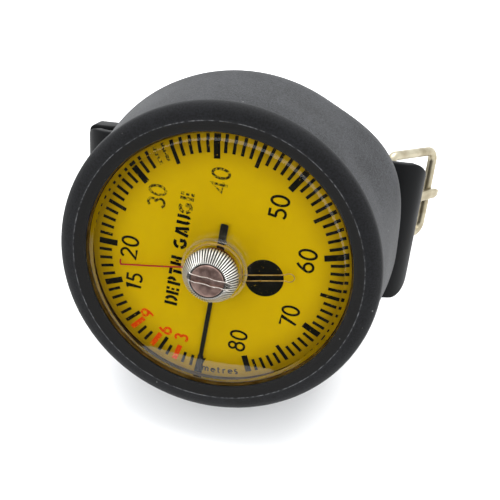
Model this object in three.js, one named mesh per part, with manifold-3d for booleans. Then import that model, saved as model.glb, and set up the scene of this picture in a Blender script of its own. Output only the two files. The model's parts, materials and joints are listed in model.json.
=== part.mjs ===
// Wrist depth gauge: an oil-filled Bourdon-tube movement in a rubber boot, on a strap with a wire buckle.
//
// Units are millimetres and +Z is up. The gauge stands on the lower back rim of its boot and on the
// strap's far edge, so the dial leans back. Three nested frames hold it:
//   root   the surface it stands on, origin at the centre of the bounding box's bottom
//   stand  x along the strap, y across the strap, z along the dial's axis, z = 0 at the lip's widest ring
//   gauge  the stand frame turned about the dial's axis, x towards 6 o'clock and y towards 3 o'clock
import * as THREE from "three";
import { mergeVertices } from "three/addons/utils/BufferGeometryUtils.js";
import Module from "manifold-3d";

const wasm = await Module();
wasm.setup();

const DEG = Math.PI / 180;

// ---------------------------------------------------------------- driving dimensions

const GAP = 0.3; // clearance between neighbouring pieces

// Rubber boot, revolved round the dial's axis
const LIP_R = 36;
const LIP_TOP_Z = 2.05;
const LIP_INNER_R = 29.9;
const CREASE_R = 35.6;
const CREASE_Z = -0.9;
const BACK_R = 39.8;
const BACK_ROUND_R = 3.3;
const BACK_Z = -27.1;
const BACK_RIM_Z = BACK_Z + BACK_ROUND_R;
const FLOOR_T = 3.9;
const VENT_R = 1.6;
const VENT_AT_R = 30;

// Strap bridges moulded on the boot's back
const BRIDGE_IN_X = 18;
const BRIDGE_W = 8;
const BRIDGE_HALF_Y = 25;
const BRIDGE_POST = 2.7;
const BRIDGE_T = 2.6;

// Case, from the 63 mm nominal size of a panel gauge
const CASE_R = 32.3;
const CASE_BORE_R = 29.6;
const LENS_SEAT_R = 31.5;
const CASE_FRONT_Z = -0.9;
const LENS_SHOULDER_Z = -3.2;
const CASE_BACK_T = 1.5;
const PORT_R = 8;

// Lens
const LENS_R = 31.2;
const LENS_FACE_R = 29.5;
const LENS_BOTTOM_Z = -1.6;
const LENS_FLANGE_Z = -0.9;
const LENS_CROWN_Z = 1.5;
const LENS_BORE_R = 2.3;
const BOSS_IN_R = 7.2;
const BOSS_OUT_R = 7.9;
const BOSS_H = 0.4;

// Dial and hands
const DIAL_R = 29.3;
const DIAL_TOP_Z = -3.4;
const DIAL_T = 0.5;
const DIAL_HOLE_R = 1.9;
const POINTER_Z = -3.05;
const POINTER_T = 0.25;
const POINTER_TIP_R = 28.4;
const POINTER_W = 1.0;
const POINTER_TAIL_R = 9.6;
const POINTER_TAIL_W = 1.65;
const DRIVE_PIN_AT_R = 19.5; // outside the hand's hairpin, inside its long wire
const HAND_Z = -2.2;
const HAND_WIRE_R = 0.2;
const HAND_TIP_R = 22.4;
const HAND_TAIL_R = 16;
const HAND_TAIL_W = 2;

// Scale: 0 m lies at 9 o'clock, and depth runs clockwise
const ZERO_ANGLE = -90;
const SHOWN_MAX_DEPTH = 17.2;
const DEG_PER_METRE = 4.35;

// Reset knob
const KNOB_R = 6.2;
const KNOB_BOTTOM_Z = 2.6;
const KNOB_SIDE_TOP_Z = 4.9;
const KNOB_TOP_Z = 7.6;
const KNOB_RECESS_Z = 6.4;
const KNOB_FACE_IN_R = 3.9;
const KNOB_TEETH = 32;
const SHAFT_R = 1.9;
const SCREW_HEAD_R = 3.6;
const SLOT_W = 1.6;
const SLOT_L = 10;

// Movement
const ARBOR_R = 0.5;
const PIVOT_HOLE_R = 0.8;
const SECTOR_PIVOT_X = 12;
const PINION_TEETH = 8;
const SECTOR_TEETH_FULL = 72;
const PINION_TIP_R = 1.35;
const TOOTH_H = 0.4;
const SECTOR_TIP_R = SECTOR_PIVOT_X - PINION_TIP_R - 0.15;
const SECTOR_HALF_ARC = 24;
const SECTOR_SWING = 37.2;
const TAIL_ARM = 5;
const PLATE_R = 16;
const PLATE_T = 1;
const UPPER_PLATE_Z = -7.4;
const LOWER_PLATE_Z = -15.4;
const PILLAR_R = 1.4;
const PILLAR_AT_R = 13.5;
const PILLAR_ANGLES = [55, 125, 235, 305];
const TUBE_R = 23.5;
const TUBE_RADIAL = 1.8;
const TUBE_Z = -14.4;
const TUBE_DEPTH = 5;
const TUBE_TIP_ANGLE = 30;
const TUBE_ROOT_ANGLE = 267.5;

// Strap, drawn along its centre line: a wide part under the gauge and a narrow tail at each end
const STRAP_T = 2.6;
const STRAP_CENTRE_Y = 5.4;
const PAD_W = 33;
const PAD_LEFT_X = -44.1;
const PAD_RIGHT_X = 44.5;
const PAD_CORNER_R = 4.5;
const TAIL_W = 21.5;
const STRAP_Z = BACK_Z - GAP - 0.1 - STRAP_T / 2;
const RIGHT_FLAT = 38.2;
const RIGHT_BEND_R = 5;
const RIGHT_BEND = 110;
const RIGHT_TAIL = 15.5;
const HINGE_OFFSET = 2.4;
const LEFT_FLAT = 36;
const LEFT_BEND_R = 7.2;
const LEFT_BEND = 85;
const LEFT_WALL = 23;
const FAR_BEND_R = 26;
const FAR_FLAT = 38;
const TIP_BEND = 35;
const HOLE_L = 4;
const HOLE_W = 2.4;
const HOLE_COUNT = 6;
const HOLE_PITCH = 8;
const HOLE_FROM_TIP = 14;

// Wire buckle
const WIRE_R = 1.25;
const BUCKLE_LENGTH = 20.6;
const BUCKLE_W = 25;
const BUCKLE_CORNER_R = 3.2;
const HINGE_CORNER_R = 1.8;
const BUCKLE_ANGLE = -51;
const WIRE_JOINT = 0.8;
const EYE_BORE_R = WIRE_R + 0.35;
const EYE_WALL = 2.2;
const NOTCH_W = 4;
const NOTCH_R = 6.5;
const PRONG_W = 3;
const PRONG_EYE_R = 3.2;
const PRONG_LOW = 1.7;
const PRONG_T = 1.9;
const PRONG_L = 24;

// Keeper
const KEEPER_L = 7;
const KEEPER_ALONG = 0.7; // where it lies along the strap's straight left wall
const KEEPER_WALL = 1.4;
const KEEPER_ROOM = 3.2;

// How far the gauge is turned from the strap's line, and how far the dial leans back from upright:
// the boot's rounded rim and the strap's far lower edge both touch the surface it stands on.
const GAUGE_TURN = -6;
const FAR_Z = STRAP_Z - LEFT_BEND_R * (1 - Math.cos(LEFT_BEND * DEG)) - LEFT_WALL * Math.sin(LEFT_BEND * DEG)
  - FAR_BEND_R * (1 + Math.cos(LEFT_BEND * DEG)) - STRAP_T / 2;
const RIM_CENTRE_Y = BACK_R - BACK_ROUND_R;
const TAIL_LOW_Y = STRAP_CENTRE_Y - TAIL_W / 2;
const SPAN_Z = BACK_RIM_Z - FAR_Z;
const SPAN_Y = RIM_CENTRE_Y + TAIL_LOW_Y;
const LEAN = Math.atan2(SPAN_Y, SPAN_Z) + Math.asin(BACK_ROUND_R / Math.hypot(SPAN_Y, SPAN_Z));

const ROUND = 64; // segments of a large turned piece
const MEDIUM = 32; // segments of a turned piece of coin size
const SMALL = 16; // segments of a small turned piece

// ---------------------------------------------------------------- finishes

const RUBBER = { color: 0x26272a, roughness: 0.85, metalness: 0 };
const BLACK_RUBBER = { color: 0x151617, roughness: 0.7, metalness: 0 };
const BRASS = { color: 0xb08d4a, roughness: 0.35, metalness: 1 };
const BRONZE = { color: 0xa9743f, roughness: 0.4, metalness: 1 };
const STEEL = { color: 0x9a9c9e, roughness: 0.3, metalness: 1 };
const ALUMINIUM = { color: 0xd0d1d2, roughness: 0.35, metalness: 1 };
const TARNISHED = { color: 0x7c6d64, roughness: 0.5, metalness: 1 };
const NICKEL = { color: 0xc9c1ab, roughness: 0.25, metalness: 1 };
const DIAL_YELLOW = { color: 0xe0b800, roughness: 0.6, metalness: 0 };
const BLACK_PAINT = { color: 0x101010, roughness: 0.5, metalness: 0 };
const RED_PAINT = { color: 0x9c2b1b, roughness: 0.5, metalness: 0 };
const ACRYLIC = { color: 0xf4f4ee, roughness: 0.05, metalness: 0, transparent: true, opacity: 0.25 };

// ---------------------------------------------------------------- geometry helpers

// Welds a geometry's vertices, drops empty triangles and turns its faces outwards.
function closed(geometry) {
  const bare = geometry.clone();
  bare.deleteAttribute("normal");
  bare.deleteAttribute("uv");
  const welded = mergeVertices(bare, 1e-4);
  const p = welded.attributes.position;
  const index = [];
  let volume = 0;
  const a = new THREE.Vector3();
  const b = new THREE.Vector3();
  const c = new THREE.Vector3();
  for (let i = 0; i < welded.index.count; i += 3) {
    const [i0, i1, i2] = [0, 1, 2].map((k) => welded.index.getX(i + k));
    if (i0 === i1 || i1 === i2 || i2 === i0) continue;
    index.push(i0, i1, i2);
    a.fromBufferAttribute(p, i0);
    b.fromBufferAttribute(p, i1);
    c.fromBufferAttribute(p, i2);
    volume += a.dot(b.cross(c));
  }
  if (volume < 0) index.reverse();
  welded.setIndex(index);
  return welded;
}

function toSolid(geometry) {
  const g = closed(geometry);
  return new wasm.Manifold(new wasm.Mesh({
    numProp: 3,
    vertProperties: new Float32Array(g.attributes.position.array),
    triVerts: new Uint32Array(g.index.array),
  }));
}

function toGeometry(solid) {
  const mesh = solid.getMesh();
  const g = new THREE.BufferGeometry();
  g.setAttribute("position", new THREE.BufferAttribute(new Float32Array(mesh.vertProperties), 3));
  g.setIndex(new THREE.BufferAttribute(new Uint32Array(mesh.triVerts), 1));
  return g;
}

function join(...geometries) {
  const [first, ...rest] = geometries.map(toSolid);
  return toGeometry(rest.reduce((sum, next) => sum.add(next), first));
}

function cut(geometry, ...tools) {
  return toGeometry(tools.map(toSolid).reduce((left, tool) => left.subtract(tool), toSolid(geometry)));
}

function overlap(geometry, other) {
  return toGeometry(toSolid(geometry).intersect(toSolid(other)));
}

// Turned about z from a profile of [radius, z] points that closes on the axis or on itself.
function turned(profile, segments = ROUND) {
  const points = profile.map(([r, z]) => new THREE.Vector2(r, z));
  return closed(new THREE.LatheGeometry(points, segments).rotateX(Math.PI / 2));
}

function ring(r0, r1, z0, z1, segments = ROUND) {
  return turned([[r0, z0], [r1, z0], [r1, z1], [r0, z1], [r0, z0]], segments);
}

function rod(radius, z0, z1, segments = SMALL) {
  return turned([[0, z0], [radius, z0], [radius, z1], [0, z1]], segments);
}

// Points of an arc, both ends included; angles in degrees.
function arc(cx, cy, radius, from, to, steps) {
  return Array.from({ length: steps + 1 }, (_, i) => {
    const t = (from + ((to - from) * i) / steps) * DEG;
    return [cx + radius * Math.cos(t), cy + radius * Math.sin(t)];
  });
}

function outline(points) {
  return new THREE.Shape(points.map(([x, y]) => new THREE.Vector2(x, y)));
}

// A flat plate between two heights, from an outline in x and y.
function slab(points, z0, z1) {
  return new THREE.ExtrudeGeometry(outline(points), { depth: z1 - z0, bevelEnabled: false }).translate(0, 0, z0);
}

// A prism between two y values, from an outline in x and z.
function prism(points, y0, y1) {
  const g = new THREE.ExtrudeGeometry(outline(points), { depth: y1 - y0, bevelEnabled: false });
  return g.rotateX(Math.PI / 2).translate(0, y1, 0);
}

function roundedRectangle(x0, y0, x1, y1, radius, steps = 6) {
  return [
    ...arc(x1 - radius, y0 + radius, radius, -90, 0, steps),
    ...arc(x1 - radius, y1 - radius, radius, 0, 90, steps),
    ...arc(x0 + radius, y1 - radius, radius, 90, 180, steps),
    ...arc(x0 + radius, y0 + radius, radius, 180, 270, steps),
  ];
}

function annularSector(r0, r1, from, to, steps) {
  return [...arc(0, 0, r1, from, to, steps), ...arc(0, 0, r0, to, from, steps)];
}

// A wire of round section along a list of points in 3D.
function wire(points, radius, steps, sides = 8) {
  const path = new THREE.CurvePath();
  for (let i = 1; i < points.length; i += 1) {
    path.add(new THREE.LineCurve3(new THREE.Vector3(...points[i - 1]), new THREE.Vector3(...points[i])));
  }
  const section = outline(arc(0, 0, radius, 0, 360 - 360 / sides, sides - 1));
  return new THREE.ExtrudeGeometry(section, { steps, extrudePath: path, bevelEnabled: false });
}

// Walks a line in x and z: each move is a straight length or an arc of a radius and a signed angle.
function walk(x, z, heading, moves) {
  const points = [[x, z]];
  let [px, pz, angle] = [x, z, heading];
  for (const { line = 0, radius = 0, turn = 0, steps = 12 } of moves) {
    const side = Math.sign(turn);
    const count = turn ? steps : 1;
    for (let i = 0; i < count; i += 1) {
      const step = turn / count;
      const length = turn ? 2 * radius * Math.sin((Math.abs(step) / 2) * DEG) : line;
      angle += (side * Math.abs(step)) / 2;
      px += length * Math.cos(angle * DEG);
      pz += length * Math.sin(angle * DEG);
      angle += (side * Math.abs(step)) / 2;
      points.push([px, pz]);
    }
  }
  return { points, heading: angle };
}

// The outline of a ribbon of even thickness round a centre line in x and z.
function ribbon(points, thickness) {
  const sides = [[], []];
  points.forEach(([x, z], i) => {
    const [ax, az] = points[Math.max(i - 1, 0)];
    const [bx, bz] = points[Math.min(i + 1, points.length - 1)];
    const length = Math.hypot(bx - ax, bz - az);
    const nx = (-(bz - az) / length) * (thickness / 2);
    const nz = ((bx - ax) / length) * (thickness / 2);
    sides[0].push([x + nx, z + nz]);
    sides[1].unshift([x - nx, z - nz]);
  });
  return [...sides[0], ...sides[1]];
}

function addPart(group, name, geometry, finish, [x, y, z] = [0, 0, 0], turnZ = 0) {
  const mesh = new THREE.Mesh(closed(geometry), new THREE.MeshStandardMaterial(finish));
  mesh.name = name;
  mesh.position.set(x, y, z);
  mesh.rotation.z = turnZ * DEG;
  mesh.geometry.computeVertexNormals();
  group.add(mesh);
}

// ---------------------------------------------------------------- boot

function bootBody() {
  const cavityR = CASE_R + GAP;
  const floorZ = BACK_Z + FLOOR_T;
  const lipUnderZ = CASE_FRONT_Z + 1.5;
  return turned([
    [0, BACK_Z],
    ...arc(RIM_CENTRE_Y, BACK_RIM_Z, BACK_ROUND_R, -90, 0, 8),
    [CREASE_R, CREASE_Z],
    [LIP_R - 0.1, -0.5],
    [LIP_R, 0],
    [LIP_R - 0.55, 1.15],
    [LIP_R - 1.8, 1.85],
    [LIP_R - 3.4, LIP_TOP_Z],
    [LIP_R - 4.8, 1.7],
    [LIP_INNER_R, 1.0],
    [LIP_INNER_R, lipUnderZ],
    [cavityR, lipUnderZ],
    [cavityR, floorZ],
    [0, floorZ],
  ]);
}

// A bridge is a U whose posts grow out of the boot's back and whose bar holds the strap in.
function strapBridge(centreX) {
  const inY = BRIDGE_HALF_Y - BRIDGE_POST;
  const innerZ = STRAP_Z - STRAP_T / 2 - 0.4;
  const outerZ = innerZ - BRIDGE_T;
  const rootZ = BACK_Z + 0.6;
  const round = 1.8;
  const section = [
    [-BRIDGE_HALF_Y, rootZ],
    ...arc(-BRIDGE_HALF_Y + round, outerZ + round, round, 180, 270, 4),
    ...arc(BRIDGE_HALF_Y - round, outerZ + round, round, 270, 360, 4),
    [BRIDGE_HALF_Y, rootZ],
    [inY, rootZ],
    [inY, innerZ],
    [-inY, innerZ],
    [-inY, rootZ],
  ];
  return prism(section, -BRIDGE_W / 2, BRIDGE_W / 2).rotateZ(Math.PI / 2).translate(centreX, 0, 0);
}

function boot(group) {
  const bridgeX = BRIDGE_IN_X + BRIDGE_W / 2;
  const body = join(bootBody(), strapBridge(bridgeX), strapBridge(-bridgeX));
  const vents = [-120, -90, -60].map((angle) => {
    const hole = rod(VENT_R, BACK_Z - 1, BACK_Z + FLOOR_T + 1);
    return hole.translate(VENT_AT_R * Math.cos(angle * DEG), VENT_AT_R * Math.sin(angle * DEG), 0);
  });
  addPart(group, "rubber_boot", cut(body, ...vents), RUBBER);
}

// ---------------------------------------------------------------- case, lens and dial

const CASE_OUT_Z = BACK_Z + FLOOR_T + GAP;
const CASE_IN_Z = CASE_OUT_Z + CASE_BACK_T;
const FILL_AT = [-18.8, 6.8];

function caseAndLens(group) {
  const cup = turned([
    [PORT_R, CASE_OUT_Z],
    [CASE_R, CASE_OUT_Z],
    [CASE_R, CASE_FRONT_Z],
    [LENS_SEAT_R, CASE_FRONT_Z],
    [LENS_SEAT_R, LENS_SHOULDER_Z],
    [CASE_BORE_R, LENS_SHOULDER_Z],
    [CASE_BORE_R, CASE_IN_Z],
    [PORT_R, CASE_IN_Z],
    [PORT_R, CASE_OUT_Z],
  ]);
  const fillHole = rod(2.3, CASE_OUT_Z - 1, CASE_IN_Z + 1).translate(...FILL_AT, 0);
  addPart(group, "case_cup", cut(cup, fillHole), BRASS);
  addPart(group, "lens_gasket", ring(29.9, LENS_R, LENS_SHOULDER_Z + GAP, LENS_BOTTOM_Z - GAP), BLACK_RUBBER);
  addPart(group, "lens", turned([
    [LENS_BORE_R, LENS_BOTTOM_Z],
    [LENS_R, LENS_BOTTOM_Z],
    [LENS_R, LENS_FLANGE_Z],
    [LENS_FACE_R, LENS_FLANGE_Z],
    [LENS_FACE_R, 0.3],
    [LENS_FACE_R - 0.6, 0.75],
    [22, 1.15],
    [14, 1.4],
    [BOSS_OUT_R, LENS_CROWN_Z],
    [BOSS_OUT_R, LENS_CROWN_Z + BOSS_H],
    [BOSS_IN_R, LENS_CROWN_Z + BOSS_H],
    [BOSS_IN_R, LENS_CROWN_Z],
    [LENS_BORE_R, LENS_CROWN_Z],
    [LENS_BORE_R, LENS_BOTTOM_Z],
  ]), ACRYLIC);
  addPart(group, "bezel_ring", ring(29.8, CASE_R, CASE_FRONT_Z + GAP, CASE_FRONT_Z + 1.2), BRASS);
  addPart(group, "dial_plate", ring(DIAL_HOLE_R, DIAL_R, DIAL_TOP_Z - DIAL_T, DIAL_TOP_Z), DIAL_YELLOW);
}

function pressurePort(group) {
  const z = CASE_IN_Z + GAP;
  const diaphragm = turned([
    [0, z],
    [3, z],
    [4.2, z + 0.5],
    [5.4, z],
    [10.5, z],
    [10.5, z + 0.8],
    [5.4, z + 0.8],
    [4.2, z + 1.3],
    [3, z + 0.8],
    [0, z + 0.8],
  ], MEDIUM);
  addPart(group, "pressure_diaphragm", diaphragm, BLACK_RUBBER);
  const ringZ = z + 0.8 + GAP;
  addPart(group, "diaphragm_ring", ring(7.5, 10.5, ringZ, ringZ + 1.1, MEDIUM), BRASS);
  const screwZ = ringZ + 1.1 + GAP;
  [30, 150, 270].forEach((angle, i) => {
    const at = [9 * Math.cos(angle * DEG), 9 * Math.sin(angle * DEG), 0];
    addPart(group, `diaphragm_screw_${i + 1}`, slottedHead(0.95, screwZ, screwZ + 0.7, 0.3), STEEL, at, angle);
  });
  addPart(group, "oil_fill_screw", slottedHead(2, CASE_OUT_Z, CASE_IN_Z + 1.2, 0.5), BRASS, [...FILL_AT, 0]);
  addPart(group, "oil_fill_seal", ring(2.3, 3.6, z, z + 0.7, SMALL), BLACK_RUBBER, [...FILL_AT, 0]);
}

// A round head with a driver slot across its top.
function slottedHead(radius, z0, z1, slotWidth) {
  const slot = slab(roundedRectangle(-radius - 1, -slotWidth / 2, radius + 1, slotWidth / 2, 0.01, 1),
    z1 - 0.4 * Math.min(z1 - z0, radius), z1 + 1);
  return cut(rod(radius, z0, z1), slot);
}

// ---------------------------------------------------------------- hands and knob

function mainPointer(group) {
  const half = POINTER_W / 2;
  const tail = POINTER_TAIL_W / 2;
  const z1 = POINTER_Z + POINTER_T;
  const blade = slab([
    [2, -half], [POINTER_TIP_R - 1.5, -half], [POINTER_TIP_R, 0], [POINTER_TIP_R - 1.5, half], [2, half],
    [0, tail], [-POINTER_TAIL_R, tail], [-POINTER_TAIL_R, -tail], [0, -tail],
  ], POINTER_Z, z1);
  const boss = rod(2, POINTER_Z, z1);
  const drivePin = rod(0.25, POINTER_Z + 0.05, HAND_Z).translate(DRIVE_PIN_AT_R, 0, 0);
  const pointer = cut(join(blade, boss, drivePin), rod(PIVOT_HOLE_R, POINTER_Z - 1, z1 + 1, 16));
  addPart(group, "main_pointer", pointer, BLACK_PAINT, [0, 0, 0], ZERO_ANGLE);
  addPart(group, "pointer_hub", ring(PIVOT_HOLE_R, 1.5, DIAL_TOP_Z - 1, POINTER_Z - GAP, SMALL), BRASS);
}

// The shown maximum depth sets where the hand lies; its wire runs out, and a hairpin balances it.
function maximumHand(group) {
  const hub = ring(SHAFT_R + GAP, 2.9, HAND_Z - HAND_WIRE_R, HAND_Z + HAND_WIRE_R, SMALL);
  const front = wire([[2.6, 0, HAND_Z], [HAND_TIP_R - 2.2, 0, HAND_Z], [HAND_TIP_R - 0.8, 0.9, HAND_Z],
    [HAND_TIP_R, 0.4, HAND_Z]], HAND_WIRE_R, 18, 6);
  const bend = arc(-HAND_TAIL_R, 0, HAND_TAIL_W / 2, 90, 270, 8).map(([x, y]) => [x, y, HAND_Z]);
  const start = [-2.2, HAND_TAIL_W / 2, HAND_Z];
  const end = [-2.2, -HAND_TAIL_W / 2, HAND_Z];
  const tail = wire([start, ...bend, end], HAND_WIRE_R, 30, 6);
  const angle = ZERO_ANGLE - SHOWN_MAX_DEPTH * DEG_PER_METRE;
  addPart(group, "max_depth_hand", join(hub, front, tail), RED_PAINT, [0, 0, 0], angle);
}

function resetKnob(group) {
  const body = turned([
    [SHAFT_R + GAP, KNOB_BOTTOM_Z],
    [KNOB_R, KNOB_BOTTOM_Z],
    [KNOB_R, KNOB_SIDE_TOP_Z],
    [KNOB_FACE_IN_R + 0.2, KNOB_TOP_Z],
    [KNOB_FACE_IN_R, KNOB_TOP_Z],
    [KNOB_FACE_IN_R, KNOB_RECESS_Z],
    [SHAFT_R + GAP, KNOB_RECESS_Z],
    [SHAFT_R + GAP, KNOB_BOTTOM_Z],
  ], 64);
  const star = [];
  for (let i = 0; i < KNOB_TEETH; i += 1) {
    const pitch = 360 / KNOB_TEETH;
    star.push(...arc(0, 0, KNOB_R + 0.05, i * pitch, (i + 0.45) * pitch, 1));
    star.push(...arc(0, 0, KNOB_R - 0.35, (i + 0.6) * pitch, (i + 0.85) * pitch, 1));
  }
  const knurled = overlap(body, slab(star, KNOB_BOTTOM_Z - 1, KNOB_TOP_Z + 1));
  const slot = slab(roundedRectangle(-SLOT_L / 2, -SLOT_W / 2, SLOT_L / 2, SLOT_W / 2, 0.3, 2), KNOB_RECESS_Z + 0.45, 9);
  addPart(group, "reset_knob", cut(knurled, slot), ALUMINIUM);
  const head = join(rod(SCREW_HEAD_R, KNOB_RECESS_Z + 0.3, KNOB_TOP_Z + 0.15, MEDIUM), rod(1.2, 3.5, KNOB_RECESS_Z + 0.4));
  addPart(group, "reset_knob_screw", cut(head, slot.clone().translate(0, 0, 0.1)), TARNISHED);
  addPart(group, "knob_shaft", rod(SHAFT_R, HAND_Z - HAND_WIRE_R, 3.2), STEEL);
  const oRingZ = LENS_CROWN_Z + 0.55;
  const oRing = turned(arc(2.75, oRingZ, 0.25, 0, 360, 6), SMALL);
  addPart(group, "knob_o_ring", oRing, BLACK_RUBBER);
  addPart(group, "knob_spring_washer", ring(3.6, 5.4, LENS_CROWN_Z + GAP, LENS_CROWN_Z + 0.6, MEDIUM), BRONZE);
}

// ---------------------------------------------------------------- movement

// A toothed edge as an arc of trapezium teeth.
function toothedArc(tipR, teethFull, from, count) {
  const pitch = 360 / teethFull;
  const rootR = tipR - TOOTH_H;
  const points = [];
  for (let i = 0; i < count; i += 1) {
    const t = from + i * pitch;
    points.push(...arc(0, 0, rootR, t, t + 0.25 * pitch, 1));
    points.push(...arc(0, 0, tipR, t + 0.4 * pitch, t + 0.75 * pitch, 1));
  }
  return points;
}

function sectorGear() {
  const pitch = 360 / SECTOR_TEETH_FULL;
  const teeth = toothedArc(SECTOR_TIP_R, SECTOR_TEETH_FULL, 180 - SECTOR_HALF_ARC, (2 * SECTOR_HALF_ARC) / pitch);
  const z0 = -12.4;
  const z1 = -11.4;
  const fan = slab([[0, 0], ...teeth], z0, z1);
  const arm = slab(roundedRectangle(-1, -1, TAIL_ARM + 1.2, 1, 0.9, 4), z0, z1);
  const window = slab(annularSector(3.4, 8, 180 - 16, 180 + 16, 6), z0 - 1, z1 + 1);
  const pinHole = rod(0.75, z0 - 1, z1 + 1, 12).translate(TAIL_ARM, 0, 0);
  return cut(join(fan, rod(2.2, z0, z1), arm), window, pinHole, rod(PIVOT_HOLE_R, z0 - 1, z1 + 1, 16));
}

function sectorGroup(group) {
  const rest = -SECTOR_SWING / 2;
  const at = [SECTOR_PIVOT_X, 0, 0];
  addPart(group, "sector_gear", sectorGear(), BRASS, at, rest);
  addPart(group, "sector_arbor", rod(ARBOR_R, -16.2, -5.6, 12), STEEL, at);
  const pinX = SECTOR_PIVOT_X + TAIL_ARM * Math.cos(rest * DEG);
  const pinY = TAIL_ARM * Math.sin(rest * DEG);
  addPart(group, "link_pin", rod(0.45, -13.9, -11.1, 12), STEEL, [pinX, pinY, 0]);
  const farY = 9;
  const bar = slab(roundedRectangle(-0.8, 0, 0.8, farY, 0.3, 1), -13.5, -12.8);
  const eyes = [0, farY].map((y) => rod(1.25, -13.5, -12.8, 16).translate(0, y, 0));
  const holes = [0, farY].map((y) => rod(0.75, -14, -12, 12).translate(0, y, 0));
  addPart(group, "link", cut(join(bar, ...eyes), ...holes), BRASS, [pinX, pinY, 0]);
}

function pointerArbor(group) {
  const teeth = toothedArc(PINION_TIP_R, PINION_TEETH, 0, PINION_TEETH);
  const pinion = slab(teeth, -12.9, -10.9);
  const arbor = join(rod(ARBOR_R, -16.2, POINTER_Z + POINTER_T, 12), pinion);
  addPart(group, "pointer_arbor", arbor, STEEL);
}

function hairspring(group) {
  const turns = 4;
  const steps = turns * 16;
  const points = Array.from({ length: steps + 1 }, (_, i) => {
    const t = (i / steps) * turns * 2 * Math.PI;
    const r = 2 + (4.6 * i) / steps;
    return [r * Math.cos(t), r * Math.sin(t)];
  });
  addPart(group, "hairspring", slab(ribbon(points, 0.25), -9.6, -8.8), BRONZE);
}

function plates(group) {
  const pivots = [0, SECTOR_PIVOT_X].map((x) => rod(PIVOT_HOLE_R, -17, -5, 16).translate(x, 0, 0));
  const upper = rod(PLATE_R, UPPER_PLATE_Z, UPPER_PLATE_Z + PLATE_T, MEDIUM);
  addPart(group, "upper_plate", cut(upper, ...pivots), BRASS);
  const tongue = slab(annularSector(12, 21, 276, 290, 3), LOWER_PLATE_Z, LOWER_PLATE_Z + PLATE_T);
  const lower = join(rod(PLATE_R, LOWER_PLATE_Z, LOWER_PLATE_Z + PLATE_T, MEDIUM), tongue);
  addPart(group, "lower_plate", cut(lower, ...pivots), BRASS);
  PILLAR_ANGLES.forEach((angle, i) => {
    const at = [PILLAR_AT_R * Math.cos(angle * DEG), PILLAR_AT_R * Math.sin(angle * DEG), 0];
    const z0 = LOWER_PLATE_Z + PLATE_T + GAP;
    addPart(group, `pillar_${i + 1}`, rod(PILLAR_R, z0, UPPER_PLATE_Z - GAP, 20), BRASS, at);
    const headZ = UPPER_PLATE_Z + PLATE_T + GAP;
    addPart(group, `plate_screw_${i + 1}`, slottedHead(1.3, headZ, headZ + 0.9, 0.4), STEEL, at, angle);
  });
}

function bourdonTube(group) {
  const inner = TUBE_R - TUBE_RADIAL / 2;
  const outer = TUBE_R + TUBE_RADIAL / 2;
  const z1 = TUBE_Z + TUBE_DEPTH;
  const tube = slab(annularSector(inner, outer, TUBE_TIP_ANGLE, TUBE_ROOT_ANGLE, 48), TUBE_Z, z1);
  addPart(group, "bourdon_tube", tube, BRONZE);
  const plug = slab(annularSector(inner - 0.3, outer + 0.3, 26, TUBE_TIP_ANGLE - 0.8, 2), TUBE_Z, z1);
  const tab = slab(annularSector(16.6, TUBE_R, 22, 29, 3), -14.7, -13.8);
  addPart(group, "tube_tip", join(plug, tab), BRASS);
  const foot = slab(annularSector(17, 27.5, 269, 290, 6), CASE_IN_Z + GAP, LOWER_PLATE_Z - GAP);
  const head = slab(annularSector(21.6, 25.6, 268.5, 290, 6), LOWER_PLATE_Z - GAP - 0.2, z1 + 0.4);
  addPart(group, "tube_socket", join(foot, head), BRASS);
  [279, 287].forEach((angle, i) => {
    const at = [19.3 * Math.cos(angle * DEG), 19.3 * Math.sin(angle * DEG), 0];
    const z0 = LOWER_PLATE_Z + PLATE_T + GAP;
    addPart(group, `socket_screw_${i + 1}`, slottedHead(1.1, z0, z0 + 0.9, 0.35), STEEL, at, angle);
  });
}

// ---------------------------------------------------------------- strap

const rightTail = walk(0, STRAP_Z, 0, [
  { line: RIGHT_FLAT },
  { radius: RIGHT_BEND_R, turn: -RIGHT_BEND },
  { line: RIGHT_TAIL },
]);
const leftTail = walk(0, STRAP_Z, 180, [
  { line: LEFT_FLAT },
  { radius: LEFT_BEND_R, turn: LEFT_BEND },
  { line: LEFT_WALL },
  { radius: FAR_BEND_R, turn: 180 - LEFT_BEND, steps: 16 },
  { line: FAR_FLAT },
  { radius: FAR_BEND_R, turn: TIP_BEND, steps: 8 },
]);
const [tailEndX, tailEndZ] = rightTail.points.at(-1);
const HINGE_X = tailEndX + HINGE_OFFSET * Math.cos(rightTail.heading * DEG);
const HINGE_Z = tailEndZ + HINGE_OFFSET * Math.sin(rightTail.heading * DEG);

// A place at a distance back from the long tail's tip, with the heading there.
function fromTip(distance) {
  const points = leftTail.points.toReversed();
  let left = distance;
  for (let i = 1; i < points.length; i += 1) {
    const [ax, az] = points[i - 1];
    const [bx, bz] = points[i];
    const length = Math.hypot(bx - ax, bz - az);
    const angle = Math.atan2(az - bz, ax - bx);
    if (left <= length) {
      return { x: ax + ((bx - ax) * left) / length, z: az + ((bz - az) * left) / length, angle };
    }
    left -= length;
  }
  return null;
}

// Moves a tool drawn flat, with its length along x and its depth along z, to a place on the strap.
function onStrap(geometry, { x, z, angle }) {
  return geometry.rotateY(-angle).translate(x, STRAP_CENTRE_Y, z);
}

function strapHoles() {
  return Array.from({ length: HOLE_COUNT }, (_, i) => {
    const hole = slab(roundedRectangle(-HOLE_L / 2, -HOLE_W / 2, HOLE_L / 2, HOLE_W / 2, HOLE_W / 2 - 0.01, 5), -4, 4);
    return onStrap(hole, fromTip(HOLE_FROM_TIP + i * HOLE_PITCH));
  });
}

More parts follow.
